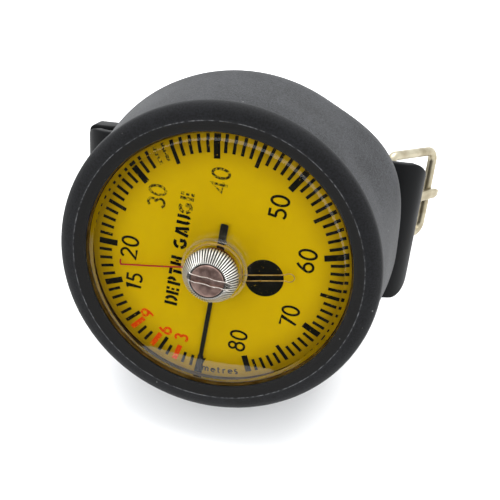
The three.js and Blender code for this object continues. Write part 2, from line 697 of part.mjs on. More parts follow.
// What is cut away to round the long tail's tip.
function tipCutter() {
  const reach = TAIL_W / 2;
  const block = slab([[-reach, -reach - 1], [3, -reach - 1], [3, reach + 1], [-reach, reach + 1]], -4, 4);
  const keep = join(rod(reach, -5, 5, 40), slab([[-2 * reach, -reach], [0, -reach], [0, reach], [-2 * reach, reach]],
    -5, 5));
  return onStrap(cut(block, keep.translate(-reach, 0, 0)), fromTip(0));
}

function strap(group) {
  const lowY = STRAP_CENTRE_Y - TAIL_W / 2;
  const highY = STRAP_CENTRE_Y + TAIL_W / 2;
  const line = [...rightTail.points.toReversed(), ...leftTail.points.slice(1)];
  const narrow = prism(ribbon(line, STRAP_T), lowY, highY);
  const wideLine = [...rightTail.points.slice(0, 12).toReversed(), ...leftTail.points.slice(1, 13)];
  const padLow = STRAP_CENTRE_Y - PAD_W / 2;
  const padHigh = STRAP_CENTRE_Y + PAD_W / 2;
  const plan = slab(roundedRectangle(PAD_LEFT_X, padLow, PAD_RIGHT_X, padHigh, PAD_CORNER_R), FAR_Z, 0);
  const wide = overlap(prism(ribbon(wideLine, STRAP_T), padLow, padHigh), plan);
  const eye = (radius, y0, y1) => prism(arc(HINGE_X, HINGE_Z, radius, 0, 345, 23), y0, y1);
  const notch = eye(NOTCH_R, STRAP_CENTRE_Y - NOTCH_W / 2, STRAP_CENTRE_Y + NOTCH_W / 2);
  const body = join(narrow, wide, eye(EYE_BORE_R + EYE_WALL, lowY, highY));
  const tools = [eye(EYE_BORE_R, lowY - 1, highY + 1), notch, tipCutter(), ...strapHoles()];
  addPart(group, "wrist_strap", cut(body, ...tools), BLACK_RUBBER);
}

function strapKeeper(group) {
  const [ax, az] = leftTail.points[13];
  const [bx, bz] = leftTail.points[14];
  const angle = Math.atan2(bz - az, bx - ax);
  const room = 0.4;
  const out = STRAP_T / 2 + room;
  const halfY = TAIL_W / 2 + room;
  const window = (grow, length) => prism([
    [-length / 2, -STRAP_T / 2 - room - KEEPER_ROOM - grow],
    [length / 2, -STRAP_T / 2 - room - KEEPER_ROOM - grow],
    [length / 2, out + grow],
    [-length / 2, out + grow],
  ], -halfY - grow, halfY + grow);
  const loop = cut(window(KEEPER_WALL, KEEPER_L), window(0, KEEPER_L + 4));
  const x = ax + (bx - ax) * KEEPER_ALONG;
  const z = az + (bz - az) * KEEPER_ALONG;
  addPart(group, "strap_keeper", loop.rotateY(-angle).translate(x, STRAP_CENTRE_Y, z), BLACK_RUBBER);
}

// ---------------------------------------------------------------- buckle

// The buckle is drawn with x from the hinge bar to the outer bar and y across, then laid at its angle.
function onHinge(geometry) {
  return geometry.rotateY(-BUCKLE_ANGLE * DEG).translate(HINGE_X, STRAP_CENTRE_Y, HINGE_Z);
}

function buckle(group) {
  const half = BUCKLE_W / 2;
  const near = HINGE_CORNER_R;
  const far = BUCKLE_CORNER_R;
  const route = [
    [0, -WIRE_JOINT / 2],
    ...arc(near, near - half, near, 180, 270, 4),
    ...arc(BUCKLE_LENGTH - far, far - half, far, -90, 0, 5),
    ...arc(BUCKLE_LENGTH - far, half - far, far, 0, 90, 5),
    ...arc(near, half - near, near, 90, 180, 4),
    [0, WIRE_JOINT / 2],
  ];
  const path = route.map(([x, y]) => [x, y, 0]);
  addPart(group, "buckle_frame", onHinge(wire(path, WIRE_R, 64, 8)), NICKEL);
  const prongHalf = PRONG_W / 2;
  const top = PRONG_LOW + PRONG_T;
  const arm = prism([
    [0.5, PRONG_LOW], [PRONG_L - 1.5, PRONG_LOW], [PRONG_L, PRONG_LOW + 0.2], [PRONG_L, PRONG_LOW + 0.8],
    [PRONG_L - 1.5, top], [0.5, top],
  ], -prongHalf, prongHalf);
  const plan = slab([
    [-5, -prongHalf], [PRONG_L - 3, -prongHalf], [PRONG_L + 0.1, -0.6], [PRONG_L + 0.1, 0.6],
    [PRONG_L - 3, prongHalf], [-5, prongHalf],
  ], -5, 5);
  const eye = prism(arc(0, 0, PRONG_EYE_R, 0, 340, 17), -prongHalf, prongHalf);
  const bore = prism(arc(0, 0, EYE_BORE_R, 0, 340, 17), -PRONG_W, PRONG_W);
  addPart(group, "buckle_prong", onHinge(overlap(cut(join(eye, arm), bore), plan)), NICKEL);
}

// ---------------------------------------------------------------- assembly

const gauge = new THREE.Group();
gauge.rotation.z = GAUGE_TURN * DEG;
caseAndLens(gauge);
pressurePort(gauge);
mainPointer(gauge);
maximumHand(gauge);
resetKnob(gauge);
sectorGroup(gauge);
pointerArbor(gauge);
hairspring(gauge);
plates(gauge);
bourdonTube(gauge);

const stand = new THREE.Group();
stand.rotation.x = Math.PI / 2 - LEAN;
stand.add(gauge);
boot(stand);
strap(stand);
strapKeeper(stand);
buckle(stand);

const root = new THREE.Group();
root.add(stand);
root.updateMatrixWorld(true);
const bounds = new THREE.Box3().setFromObject(root, true);
const centre = bounds.getCenter(new THREE.Vector3());
stand.position.set(-centre.x, -centre.y, -bounds.min.z);
root.updateMatrixWorld(true);

export default root;
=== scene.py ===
import json
import math

import bmesh
import bpy
from mathutils import Matrix, Vector


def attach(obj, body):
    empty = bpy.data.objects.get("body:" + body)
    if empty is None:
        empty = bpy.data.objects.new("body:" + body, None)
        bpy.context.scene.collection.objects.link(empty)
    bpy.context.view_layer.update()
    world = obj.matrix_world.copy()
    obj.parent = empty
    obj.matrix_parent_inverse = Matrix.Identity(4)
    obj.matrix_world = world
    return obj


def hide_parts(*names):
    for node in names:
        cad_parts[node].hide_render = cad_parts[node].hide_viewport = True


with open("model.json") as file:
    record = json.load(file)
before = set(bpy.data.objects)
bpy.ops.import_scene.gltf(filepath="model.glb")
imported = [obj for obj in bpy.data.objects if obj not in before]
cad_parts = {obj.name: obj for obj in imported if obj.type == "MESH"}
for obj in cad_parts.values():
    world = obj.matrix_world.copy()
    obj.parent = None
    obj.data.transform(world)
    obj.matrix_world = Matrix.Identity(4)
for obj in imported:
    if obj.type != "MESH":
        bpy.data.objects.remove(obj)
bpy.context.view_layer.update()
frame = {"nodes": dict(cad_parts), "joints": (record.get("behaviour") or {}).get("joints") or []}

MM = 0.001
joints = {joint["name"]: joint for joint in frame["joints"]}

# ---------------- frames

# The stand frame is the gauge's own: x along the strap, y across it, z along the dial's axis towards
# the reader, with z = 0 at the boot lip's widest ring. The gauge frame is the same, turned in the boot,
# with x towards six o'clock and y towards three. Lengths in both are millimetres until a mesh is made.
PIVOT_DEPTH = 10  # how far below z = 0 the pointer's joint is placed
GAUGE_TURN = -6  # degrees that the dial is turned in the boot

DIAL_AXIS = Vector(joints["pointer_turn"]["axis"]).normalized()
ALONG = Vector((1, 0, 0))
ACROSS = DIAL_AXIS.cross(ALONG)
CENTRE = Vector(joints["pointer_turn"]["pos_m"]) + DIAL_AXIS * PIVOT_DEPTH * MM
STAND = Matrix.Translation(CENTRE) @ Matrix((ALONG, ACROSS, DIAL_AXIS)).transposed().to_4x4()
GAUGE = STAND @ Matrix.Rotation(math.radians(GAUGE_TURN), 4, "Z")

# ---------------- camera

CAMERA_AT = Vector((25.1, 53.2, 117.9))  # stand frame, mm
CAMERA_LOOKS = Vector((-0.1389, -0.3727, -0.9172))
CAMERA_UP = Vector((-0.146, 0.923, -0.356))
CAMERA_LENS = 43.2


def make_camera():
    data = bpy.data.cameras.new("camera")
    data.lens = CAMERA_LENS
    data.sensor_width = 36
    data.clip_start = 0.005
    camera = bpy.data.objects.new("camera", data)
    bpy.context.scene.collection.objects.link(camera)
    turn = STAND.to_3x3()
    back = -(turn @ CAMERA_LOOKS).normalized()
    right = (turn @ CAMERA_UP).cross(back).normalized()
    facing = Matrix((right, back.cross(right), back)).transposed().to_4x4()
    camera.matrix_world = Matrix.Translation(STAND @ (CAMERA_AT * MM)) @ facing
    bpy.context.scene.camera = camera


make_camera()

# ---------------- outlines


def arc(x, y, radius, start, end, steps):
    """Points on a circle from the start angle to the end angle, in degrees."""
    angles = [math.radians(start + (end - start) * i / steps) for i in range(steps + 1)]
    return [(x + radius * math.cos(a), y + radius * math.sin(a)) for a in angles]


def curved(points, steps):
    """A smooth curve through the points, with that many steps between neighbours."""
    ends = [points[0], *points, points[-1]]
    line = []
    for i in range(1, len(ends) - 2):
        p0, p1, p2, p3 = (Vector(p) for p in ends[i - 1:i + 3])
        for j in range(steps):
            t = j / steps
            line.append(tuple(0.5 * (2 * p1 + (p2 - p0) * t + (2 * p0 - 5 * p1 + 4 * p2 - p3) * t * t
                                     + (3 * p1 - p0 - 3 * p2 + p3) * t ** 3)))
    return [*line, tuple(points[-1])]


def rounded_box(half_x, half_y, radius, steps=4):
    """The outline of a rectangle with rounded corners, about the origin."""
    x, y = half_x - radius, half_y - radius
    return [*arc(x, -y, radius, -90, 0, steps), *arc(x, y, radius, 0, 90, steps),
            *arc(-x, y, radius, 90, 180, steps), *arc(-x, -y, radius, 180, 270, steps)]


def polar(radius, degrees):
    return radius * math.cos(math.radians(degrees)), radius * math.sin(math.radians(degrees))


# ---------------- meshes


def build(name, vertices, faces, place=STAND, crease=40):
    """A mesh object from vertices in mm, in the given frame, smooth but for edges sharper than crease."""
    mesh = bpy.data.meshes.new(name)
    mesh.from_pydata([place @ (Vector(v) * MM) for v in vertices], [], faces)
    work = bmesh.new()
    work.from_mesh(mesh)
    bmesh.ops.recalc_face_normals(work, faces=work.faces)
    work.to_mesh(mesh)
    work.free()
    mesh.shade_smooth()
    mesh.set_sharp_from_angle(angle=math.radians(crease))
    obj = bpy.data.objects.new(name, mesh)
    bpy.context.scene.collection.objects.link(obj)
    return obj


def turned(name, profile, segments=192, place=STAND, ripple=None, crease=40):
    """Turns a closed outline of (radius, height) points about z. ripple moves a point, given its radius,
    its height and its angle."""
    vertices, rows, faces = [], [], []
    for radius, height in profile:
        if radius < 1e-6:
            rows.append([len(vertices)] * segments)
            vertices.append((0, 0, height))
            continue
        rows.append(range(len(vertices), len(vertices) + segments))
        for i in range(segments):
            a = 2 * math.pi * i / segments
            r, z = ripple(radius, height, a) if ripple else (radius, height)
            vertices.append((r * math.cos(a), r * math.sin(a), z))
    pairs = list(zip(rows, rows[1:]))
    if profile[0][0] > 1e-6:
        pairs.append((rows[-1], rows[0]))
    for low, high in pairs:
        for i in range(segments):
            j = (i + 1) % segments
            corners = list(dict.fromkeys((low[i], low[j], high[j], high[i])))
            if len(corners) > 2:
                faces.append(corners)
    return build(name, vertices, faces, place, crease)


def swept(name, path, section, across, place=STAND, closed=False, crease=40):
    """Sweeps section(i), a list of (side, out) points, along 3-D path points. side lies along across."""
    across = Vector(across).normalized()
    path = [Vector(p) for p in path]
    count = len(path)
    vertices, faces = [], []
    for i, point in enumerate(path):
        before = path[i - 1] if i or closed else point
        after = path[(i + 1) % count] if i + 1 < count or closed else point
        out = across.cross(after - before).normalized()
        outline = section(i)
        vertices += [point + across * side + out * away for side, away in outline]
    size = len(outline)
    for i in range(count if closed else count - 1):
        near, far = i * size, ((i + 1) % count) * size
        for j in range(size):
            k = (j + 1) % size
            faces.append((near + j, near + k, far + k, far + j))
    if not closed:
        faces.append(tuple(range(size)))
        faces.append(tuple(range((count - 1) * size, count * size)))
    return build(name, vertices, faces, place, crease)


def round_wire(radius, sides=16):
    outline = arc(0, 0, radius, 0, 360 - 360 / sides, sides - 1)
    return lambda i: outline


def plate_faces(count, base=0):
    """The faces of a plate whose two faces are rings of count points, the first from vertex base on."""
    low, high = range(base, base + count), range(base + count, base + 2 * count)
    sides = [(low[i - 1], low[i], high[i], high[i - 1]) for i in [*range(1, count), 0]]
    return [tuple(low), tuple(high), *sides]


def flat_wire(name, route, height, section, place):
    """A wire bent in a plane, through (x, y) points at one height."""
    return swept(name, [(x, y, height) for x, y in route], section, (0, 0, 1), place)


def slab(name, outline, z0, z1, place=GAUGE):
    """A flat plate between two heights, from its outline."""
    vertices = [(x, y, z) for z in (z0, z1) for x, y in outline]
    return build(name, vertices, plate_faces(len(outline)), place)


def apply_modifiers(obj):
    """Turns what obj's modifiers make into its own mesh."""
    evaluated = obj.evaluated_get(bpy.context.evaluated_depsgraph_get())
    mesh = bpy.data.meshes.new_from_object(evaluated)
    obj.modifiers.clear()
    obj.data = mesh
    mesh.name = obj.name
    return obj


def combine(obj, tools, operation="DIFFERENCE", crease=40):
    """Cuts the tools out of obj, or joins them to it, and removes them."""
    for tool in tools:
        change = obj.modifiers.new(operation.lower(), "BOOLEAN")
        change.operation = operation
        change.solver = "EXACT"
        change.object = tool
    apply_modifiers(obj)
    for tool in tools:
        bpy.data.objects.remove(tool)
    obj.data.shade_smooth()
    obj.data.set_sharp_from_angle(angle=math.radians(crease))
    return obj


def soften(obj, width, segments=3, angle=35):
    """Rounds obj's sharp edges by a width in mm."""
    bevel = obj.modifiers.new("rounded edges", "BEVEL")
    bevel.width = width * MM
    bevel.segments = segments
    bevel.limit_method = "ANGLE"
    bevel.angle_limit = math.radians(angle)
    return apply_modifiers(obj)


def fit(obj, body, slot, material, *nodes):
    """Gives a finished piece its material and its body, and hides the CAD nodes that it stands for."""
    obj.data.materials.clear()
    obj.data.materials.append(material)
    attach(obj, body)
    if nodes:
        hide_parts(*nodes)


# ---------------- materials


def colour(code):
    """An sRGB hex colour as linear red, green, blue and alpha."""
    parts = [int(code[i:i + 2], 16) / 255 for i in (1, 3, 5)]
    return [c / 12.92 if c <= 0.04045 else ((c + 0.055) / 1.055) ** 2.4 for c in parts] + [1]


def per(size):
    """How many features of a size in mm a metre holds: a texture's scale."""
    return 1 / (size * MM)


def add(tree, kind, sockets=None, **settings):
    """Adds a node. A value in sockets is either linked, if it is an output socket, or set."""
    node = tree.nodes.new(kind)
    for name, value in settings.items():
        setattr(node, name, value)
    for name, value in (sockets or {}).items():
        if isinstance(value, bpy.types.NodeSocket):
            tree.links.new(value, node.inputs[name])
        else:
            node.inputs[name].default_value = value
    return node


def material(name, constants, frame_of=STAND):
    """A material whose shader's constants are set on its own sockets. Returns it with its node tree and the
    output that gives a point's place in the stand frame, or in the gauge frame."""
    made = bpy.data.materials.new(name)
    made.use_nodes = True
    tree = made.node_tree
    for socket, value in constants.items():
        tree.nodes["Principled BSDF"].inputs[socket].default_value = value
    spot = add(tree, "ShaderNodeTexCoord").outputs["Object"]
    moved = {"Vector": spot, "Location": frame_of.translation, "Rotation": frame_of.to_euler()}
    return made, tree, add(tree, "ShaderNodeMapping", moved, vector_type="TEXTURE").outputs[0]


def wired(made, links):
    """Links outputs to the sockets of a material's shader, and gives the material back."""
    tree = made.node_tree
    for socket, output in links.items():
        tree.links.new(output, tree.nodes["Principled BSDF"].inputs[socket])
    return made


def moulded_boot_rubber():
    """Natural rubber moulded in a blasted tool: matt black-grey with a fine grain and dust caught in it.
    The wall is painted paler than the lip, a painted sheen of grazing light on the one rubber, and a paler
    line runs round the lip where the tool's halves met."""
    made, tree, place = material("moulded_boot_rubber", {"Roughness": 0.7, "Specular IOR Level": 0.2,
                                                          "Sheen Weight": 0.06, "Sheen Roughness": 0.5})
    axes = add(tree, "ShaderNodeSeparateXYZ", {"Vector": place}).outputs
    flat = add(tree, "ShaderNodeCombineXYZ", {"X": axes["X"], "Y": axes["Y"]}).outputs[0]
    radius = add(tree, "ShaderNodeVectorMath", {0: flat}, operation="LENGTH").outputs["Value"]
    grain = add(tree, "ShaderNodeTexNoise", {"Vector": place, "Scale": per(0.35), "Detail": 3}).outputs["Fac"]
    cloud = add(tree, "ShaderNodeTexNoise", {"Vector": place, "Scale": per(9), "Detail": 4}).outputs["Fac"]
    heights = {"Value": axes["Z"], "From Min": -1.6 * MM, "From Max": -0.6 * MM}
    on_lip = add(tree, "ShaderNodeMapRange", heights, interpolation_type="SMOOTHSTEP").outputs[0]
    both = add(tree, "ShaderNodeMath", {0: cloud, 1: 0.35, 2: grain}, operation="MULTIPLY_ADD").outputs[0]
    tone = add(tree, "ShaderNodeMapRange", {"Value": both, "From Min": 0.5, "From Max": 0.85}).outputs[0]
    # Painted sheen: the wall's greys are paler than the lip's below, standing in for grazing light on the same
    # rubber.
    wall = add(tree, "ShaderNodeMix", {"Factor": tone, "A": colour("#0d0e0f"), "B": colour("#333437")},
               data_type="RGBA").outputs["Result"]
    rim = add(tree, "ShaderNodeMix", {"Factor": tone, "A": colour("#030304"), "B": colour("#131417")},
              data_type="RGBA").outputs["Result"]
    # Inside the parting line the flange is one even, browner black, without the grain's mottling.
    outside = add(tree, "ShaderNodeMapRange", {"Value": radius, "From Min": (PARTING_R - 0.3) * MM,
                                               "From Max": PARTING_R * MM}).outputs[0]
    lip = add(tree, "ShaderNodeMix", {"Factor": outside, "A": colour("#0b0a09"), "B": rim},
              data_type="RGBA").outputs["Result"]
    body = add(tree, "ShaderNodeMix", {"Factor": on_lip, "A": wall, "B": lip},
               data_type="RGBA").outputs["Result"]
    # Dust: pale specks about a third of a millimetre across, drawn larger than real dust so that they show.
    dust = add(tree, "ShaderNodeTexVoronoi", {"Vector": place, "Scale": per(2.4)}).outputs["Distance"]
    speck = add(tree, "ShaderNodeMapRange", {"Value": dust, "From Min": 0.09, "From Max": 0.05}).outputs[0]
    sparse = add(tree, "ShaderNodeTexNoise", {"Vector": place, "Scale": per(4), "Detail": 2}).outputs["Fac"]
    some = add(tree, "ShaderNodeMapRange", {"Value": sparse, "From Min": 0.55, "From Max": 0.65}).outputs[0]
    dusty = add(tree, "ShaderNodeMath", {0: speck, 1: some}, operation="MULTIPLY").outputs[0]
    faint = add(tree, "ShaderNodeMath", {0: dusty, 1: 0.5}, operation="MULTIPLY").outputs[0]
    specked = add(tree, "ShaderNodeMix", {"Factor": faint, "A": body, "B": colour("#a9a9a6")},
                  data_type="RGBA").outputs["Result"]
    # The parting line, a fifth of a millimetre wide and broken where it has been trimmed.
    off_line = add(tree, "ShaderNodeMath", {0: radius, 1: PARTING_R * MM}, operation="SUBTRACT").outputs[0]
    distance = add(tree, "ShaderNodeMath", {0: off_line}, operation="ABSOLUTE").outputs[0]
    line = add(tree, "ShaderNodeMapRange", {"Value": distance, "From Min": 0.13 * MM,
                                            "From Max": 0.04 * MM}).outputs[0]
    broken = add(tree, "ShaderNodeTexNoise", {"Vector": place, "Scale": per(0.9), "Detail": 4}).outputs["Fac"]
    left = add(tree, "ShaderNodeMapRange", {"Value": broken, "From Min": 0.4, "From Max": 0.72}).outputs[0]
    shown = add(tree, "ShaderNodeMath", {0: line, 1: left}, operation="MULTIPLY").outputs[0]
    top_only = add(tree, "ShaderNodeMath", {0: shown, 1: on_lip}, operation="MULTIPLY").outputs[0]
    whole = add(tree, "ShaderNodeMix", {"Factor": top_only, "A": specked, "B": colour("#6b6c6e")},
                data_type="RGBA").outputs["Result"]
    bump = add(tree, "ShaderNodeBump", {"Height": grain, "Strength": 0.6, "Distance": 0.1 * MM}).outputs[0]
    return wired(made, {"Base Color": whole, "Normal": bump})


def moulded_strap_rubber():
    """Softer black rubber moulded in a smoother tool: deeper black, a slight sheen and grey scuffs."""
    made, tree, place = material("moulded_strap_rubber", {"Specular IOR Level": 0.12, "Sheen Weight": 0.02,
                                                           "Sheen Roughness": 0.4})
    cloud = add(tree, "ShaderNodeTexNoise", {"Vector": place, "Scale": per(7), "Detail": 5}).outputs["Fac"]
    grain = add(tree, "ShaderNodeTexNoise", {"Vector": place, "Scale": per(0.3), "Detail": 2}).outputs["Fac"]
    tint = add(tree, "ShaderNodeMix", {"Factor": cloud, "A": colour("#050506"), "B": colour("#101112")},
               data_type="RGBA").outputs["Result"]
    rough = add(tree, "ShaderNodeMapRange", {"Value": cloud, "To Min": 0.5, "To Max": 0.68}).outputs[0]
    bump = add(tree, "ShaderNodeBump", {"Height": grain, "Strength": 0.35, "Distance": 0.05 * MM}).outputs[0]
    return wired(made, {"Base Color": tint, "Roughness": rough, "Normal": bump})


def seal_rubber():
    """Nitrile rubber moulded for seals: plain black with a dull, slightly oily face."""
    made, tree, place = material("nitrile_seal_rubber", {"Roughness": 0.55, "Specular IOR Level": 0.5})
    cloud = add(tree, "ShaderNodeTexNoise", {"Vector": place, "Scale": per(3), "Detail": 3}).outputs["Fac"]
    tint = add(tree, "ShaderNodeMix", {"Factor": cloud, "A": colour("#0d0d0e"), "B": colour("#1c1c1d")},
               data_type="RGBA").outputs["Result"]
    return wired(made, {"Base Color": tint})


def dial_enamel():
    """Stoved yellow enamel on brass sheet: an even, matt coat, browner towards the rim, partly from age and
    partly painted shade under the boot's lip and the lens's edge.
    """
    made, tree, place = material("stoved_yellow_enamel", {"Roughness": 0.5, "Specular IOR Level": 0.06})
    age = add(tree, "ShaderNodeTexNoise", {"Vector": place, "Scale": per(14), "Detail": 3}).outputs["Fac"]
    speck = add(tree, "ShaderNodeTexNoise", {"Vector": place, "Scale": per(0.5), "Detail": 2}).outputs["Fac"]
    rare = add(tree, "ShaderNodeMapRange", {"Value": speck, "From Min": 0.72, "From Max": 0.8}).outputs[0]
    spotted = add(tree, "ShaderNodeMath", {0: rare, 1: 0.4}, operation="MULTIPLY").outputs[0]
    coat = add(tree, "ShaderNodeMix", {"Factor": age, "A": colour("#f0c600"), "B": colour("#fbd500")},
               data_type="RGBA").outputs["Result"]
    flat = add(tree, "ShaderNodeVectorMath", {0: place, 1: (1, 1, 0)}, operation="MULTIPLY").outputs[0]
    radius = add(tree, "ShaderNodeVectorMath", {0: flat}, operation="LENGTH").outputs["Value"]
    # Painted shade and age: from 20 mm out to the rim the enamel turns browner, for the shade under the lip
    # and the lens's edge as well as for ageing.
    rim = add(tree, "ShaderNodeMapRange", {"Value": radius, "From Min": 20 * MM, "From Max": 28.5 * MM,
                                           "To Max": 0.6}, interpolation_type="SMOOTHSTEP").outputs[0]
    browned_and_shaded = add(tree, "ShaderNodeMix", {"Factor": rim, "A": coat, "B": colour("#a87c00")},
                  data_type="RGBA").outputs["Result"]
    aged_and_shaded = add(tree, "ShaderNodeMix", {"Factor": spotted, "A": browned_and_shaded, "B": colour("#a88400")},
               data_type="RGBA").outputs["Result"]
    bump = add(tree, "ShaderNodeBump", {"Height": speck, "Strength": 0.1, "Distance": 0.02 * MM}).outputs[0]
    return wired(made, {"Base Color": aged_and_shaded, "Normal": bump})


def printing_ink(name, code, wear):
    """Pad-printing ink: a thin, flat film. wear is how much of it is gone, showing the enamel below."""
    made, tree, place = material(name, {"Roughness": 0.6, "Specular IOR Level": 0.1})
    flakes = add(tree, "ShaderNodeTexNoise", {"Vector": place, "Scale": per(0.5), "Detail": 4}).outputs["Fac"]
    gone = add(tree, "ShaderNodeMapRange", {"Value": flakes, "From Min": 0.68 - 0.3 * wear,
                                            "From Max": 0.74 - 0.1 * wear}).outputs[0]
    film = add(tree, "ShaderNodeMix", {"Factor": gone, "A": colour(code), "B": colour("#f3ca00")},
               data_type="RGBA").outputs["Result"]
    return wired(made, {"Base Color": film})


def polished_acrylic():
    """Cast acrylic, turned and polished: clear and faintly warm, with hairline scratches from wear."""
    made, tree, place = material("polished_cast_acrylic", {"Base Color": colour("#fdfcf2"), "Roughness": 0.0,
                                                            "IOR": 1.49, "Transmission Weight": 1}, GAUGE)
    stretched = add(tree, "ShaderNodeMapping", {"Vector": place, "Rotation": (0, 0, 0.6),
                                                "Scale": (1, 0.02, 1)}).outputs[0]
    lines = add(tree, "ShaderNodeTexNoise", {"Vector": stretched, "Scale": per(0.4),
                                             "Detail": 2}).outputs["Fac"]
    thin = add(tree, "ShaderNodeMapRange", {"Value": lines, "From Min": 0.68, "From Max": 0.72}).outputs[0]
    bump = add(tree, "ShaderNodeBump", {"Height": thin, "Strength": 0.05, "Distance": 0.01 * MM}).outputs[0]
    return wired(made, {"Normal": bump})


def metal(name, light, dark, roughness, patch, scratch=0.25):
    """Bare or plated metal: two tones of the same metal in patches, and fine scratches across them.
    patch is the patches' size and scratch the scratches' spacing, both in mm."""
    made, tree, place = material(name, {"Metallic": 1})
    cloud = add(tree, "ShaderNodeTexNoise", {"Vector": place, "Scale": per(patch),
                                             "Detail": 5}).outputs["Fac"]
    spread = add(tree, "ShaderNodeMapRange", {"Value": cloud, "From Min": 0.35, "From Max": 0.65}).outputs[0]
    tone = add(tree, "ShaderNodeMix", {"Factor": spread, "A": colour(light), "B": colour(dark)},
               data_type="RGBA").outputs["Result"]
    stretched = add(tree, "ShaderNodeMapping", {"Vector": place, "Scale": (1, 0.08, 1)}).outputs[0]
    lines = add(tree, "ShaderNodeTexNoise", {"Vector": stretched, "Scale": per(scratch),
                                             "Detail": 3}).outputs["Fac"]
    rough = add(tree, "ShaderNodeMapRange", {"Value": lines, "To Min": roughness - 0.1,
                                             "To Max": roughness + 0.14}).outputs[0]
    bump = add(tree, "ShaderNodeBump", {"Height": lines, "Strength": 0.2, "Distance": 0.01 * MM}).outputs[0]
    return wired(made, {"Base Color": tone, "Roughness": rough, "Normal": bump})


def serrated_aluminium():
    """Aluminium bar turned and cut with radial serrations: bright crests, and dark grey down in the cuts,
    patchy along them.
    """
    made, tree, place = material("serrated_aluminium", {"Metallic": 1}, GAUGE)
    axes = add(tree, "ShaderNodeSeparateXYZ", {"Vector": place}).outputs
    angle = add(tree, "ShaderNodeMath", {0: axes["Y"], 1: axes["X"]}, operation="ARCTAN2").outputs[0]
    cuts = add(tree, "ShaderNodeMath", {0: angle, 1: KNOB_SERRATIONS}, operation="MULTIPLY").outputs[0]
    wave = add(tree, "ShaderNodeMath", {0: cuts}, operation="COSINE").outputs[0]
    patchy_noise = add(tree, "ShaderNodeTexNoise", {"Vector": place, "Scale": per(1.2), "Detail": 4}).outputs["Fac"]
    # Darker down in the cuts, following the serrations' phase, with a patchy edge.
    depth = add(tree, "ShaderNodeMath", {0: patchy_noise, 1: wave}, operation="SUBTRACT").outputs[0]
    dark_in_cuts = add(tree, "ShaderNodeMapRange", {"Value": depth, "From Min": 0.3, "From Max": 1.05}).outputs[0]
    tone = add(tree, "ShaderNodeMix", {"Factor": dark_in_cuts, "A": colour("#d2d0cb"), "B": colour("#37342f")},
               data_type="RGBA").outputs["Result"]
    rough = add(tree, "ShaderNodeMapRange", {"Value": dark_in_cuts, "To Min": 0.3, "To Max": 0.7}).outputs[0]
    return wired(made, {"Base Color": tone, "Roughness": rough})


def lacquer(name, code, chip_code):
    """Brushed-on lacquer over thin metal: satin, with tiny chips down to the metal."""
    made, tree, place = material(name, {"Roughness": 0.4, "Specular IOR Level": 0.5})
    chips = add(tree, "ShaderNodeTexNoise", {"Vector": place, "Scale": per(0.8), "Detail": 5}).outputs["Fac"]
    bare = add(tree, "ShaderNodeMapRange", {"Value": chips, "From Min": 0.68, "From Max": 0.72}).outputs[0]
    coat = add(tree, "ShaderNodeMix", {"Factor": bare, "A": colour(code), "B": colour(chip_code)},
               data_type="RGBA").outputs["Result"]
    bump = add(tree, "ShaderNodeBump", {"Height": chips, "Strength": 0.2, "Distance": 0.02 * MM}).outputs[0]
    return wired(made, {"Base Color": coat, "Normal": bump})


def white_table():
    """A white laminate table: bright and matt, with faint mottling and specks of dust."""
    made, tree, place = material("white_laminate", {"Roughness": 0.6, "Specular IOR Level": 0.3})
    cloud = add(tree, "ShaderNodeTexNoise", {"Vector": place, "Scale": per(60), "Detail": 3}).outputs["Fac"]
    tone = add(tree, "ShaderNodeMix", {"Factor": cloud, "A": colour("#f1f0ef"), "B": colour("#f8f8f8")},
               data_type="RGBA").outputs["Result"]
    dust = add(tree, "ShaderNodeTexVoronoi", {"Vector": place, "Scale": per(11)}).outputs["Distance"]
    speck = add(tree, "ShaderNodeMapRange", {"Value": dust, "From Min": 0.035, "From Max": 0.02}).outputs[0]
    dusty = add(tree, "ShaderNodeMath", {0: speck, 1: 0.3}, operation="MULTIPLY").outputs[0]
    whole = add(tree, "ShaderNodeMix", {"Factor": dusty, "A": tone, "B": colour("#6a645c")},
                data_type="RGBA").outputs["Result"]
    return wired(made, {"Base Color": whole})


PARTING_R = 32.2
KNOB_SERRATIONS = 58

BOOT_RUBBER = moulded_boot_rubber()
STRAP_RUBBER = moulded_strap_rubber()
SEAL_RUBBER = seal_rubber()
YELLOW_ENAMEL = dial_enamel()
BLACK_INK = printing_ink("black_printing_ink", "#14130f", 0)
FADED_INK = printing_ink("faded_black_ink", "#34300f", 0.75)
ORANGE_INK = printing_ink("orange_printing_ink", "#ff5200", 0.35)
ACRYLIC = polished_acrylic()
BRASS = metal("turned_brass", "#c9a75b", "#a4803c", 0.32, 5)
BRONZE = metal("drawn_phosphor_bronze", "#c08a58", "#9a6638", 0.38, 4)
STEEL = metal("turned_steel", "#b4b5b6", "#8e8f91", 0.3, 3)
NICKEL = metal("nickel_plated_wire", "#aca48e", "#897f67", 0.34, 4)
HAIR_BRASS = metal("drawn_brass_hair_wire", "#d8b56a", "#a88444", 0.28, 1.5)
TARNISHED = metal("tarnished_nickel_silver", "#a98e84", "#745e57", 0.42, 1.6, 0.12)
# Partly painted highlight: the slot's burrs are bare metal, and are made much paler than the tarnished head so
# that the slot's edges shine white.
BURR_AND_HIGHLIGHT_METAL = metal("burred_nickel_silver_painted_highlight", "#dcd6cd", "#9b8f86", 0.3, 0.5)
ALUMINIUM = serrated_aluminium()
BLACK_LACQUER = lacquer("black_lacquer", "#0f0e0c", "#4f4a3a")
RED_LACQUER = lacquer("red_lacquer", "#c4260c", "#7c4a22")

# ---------------- boot

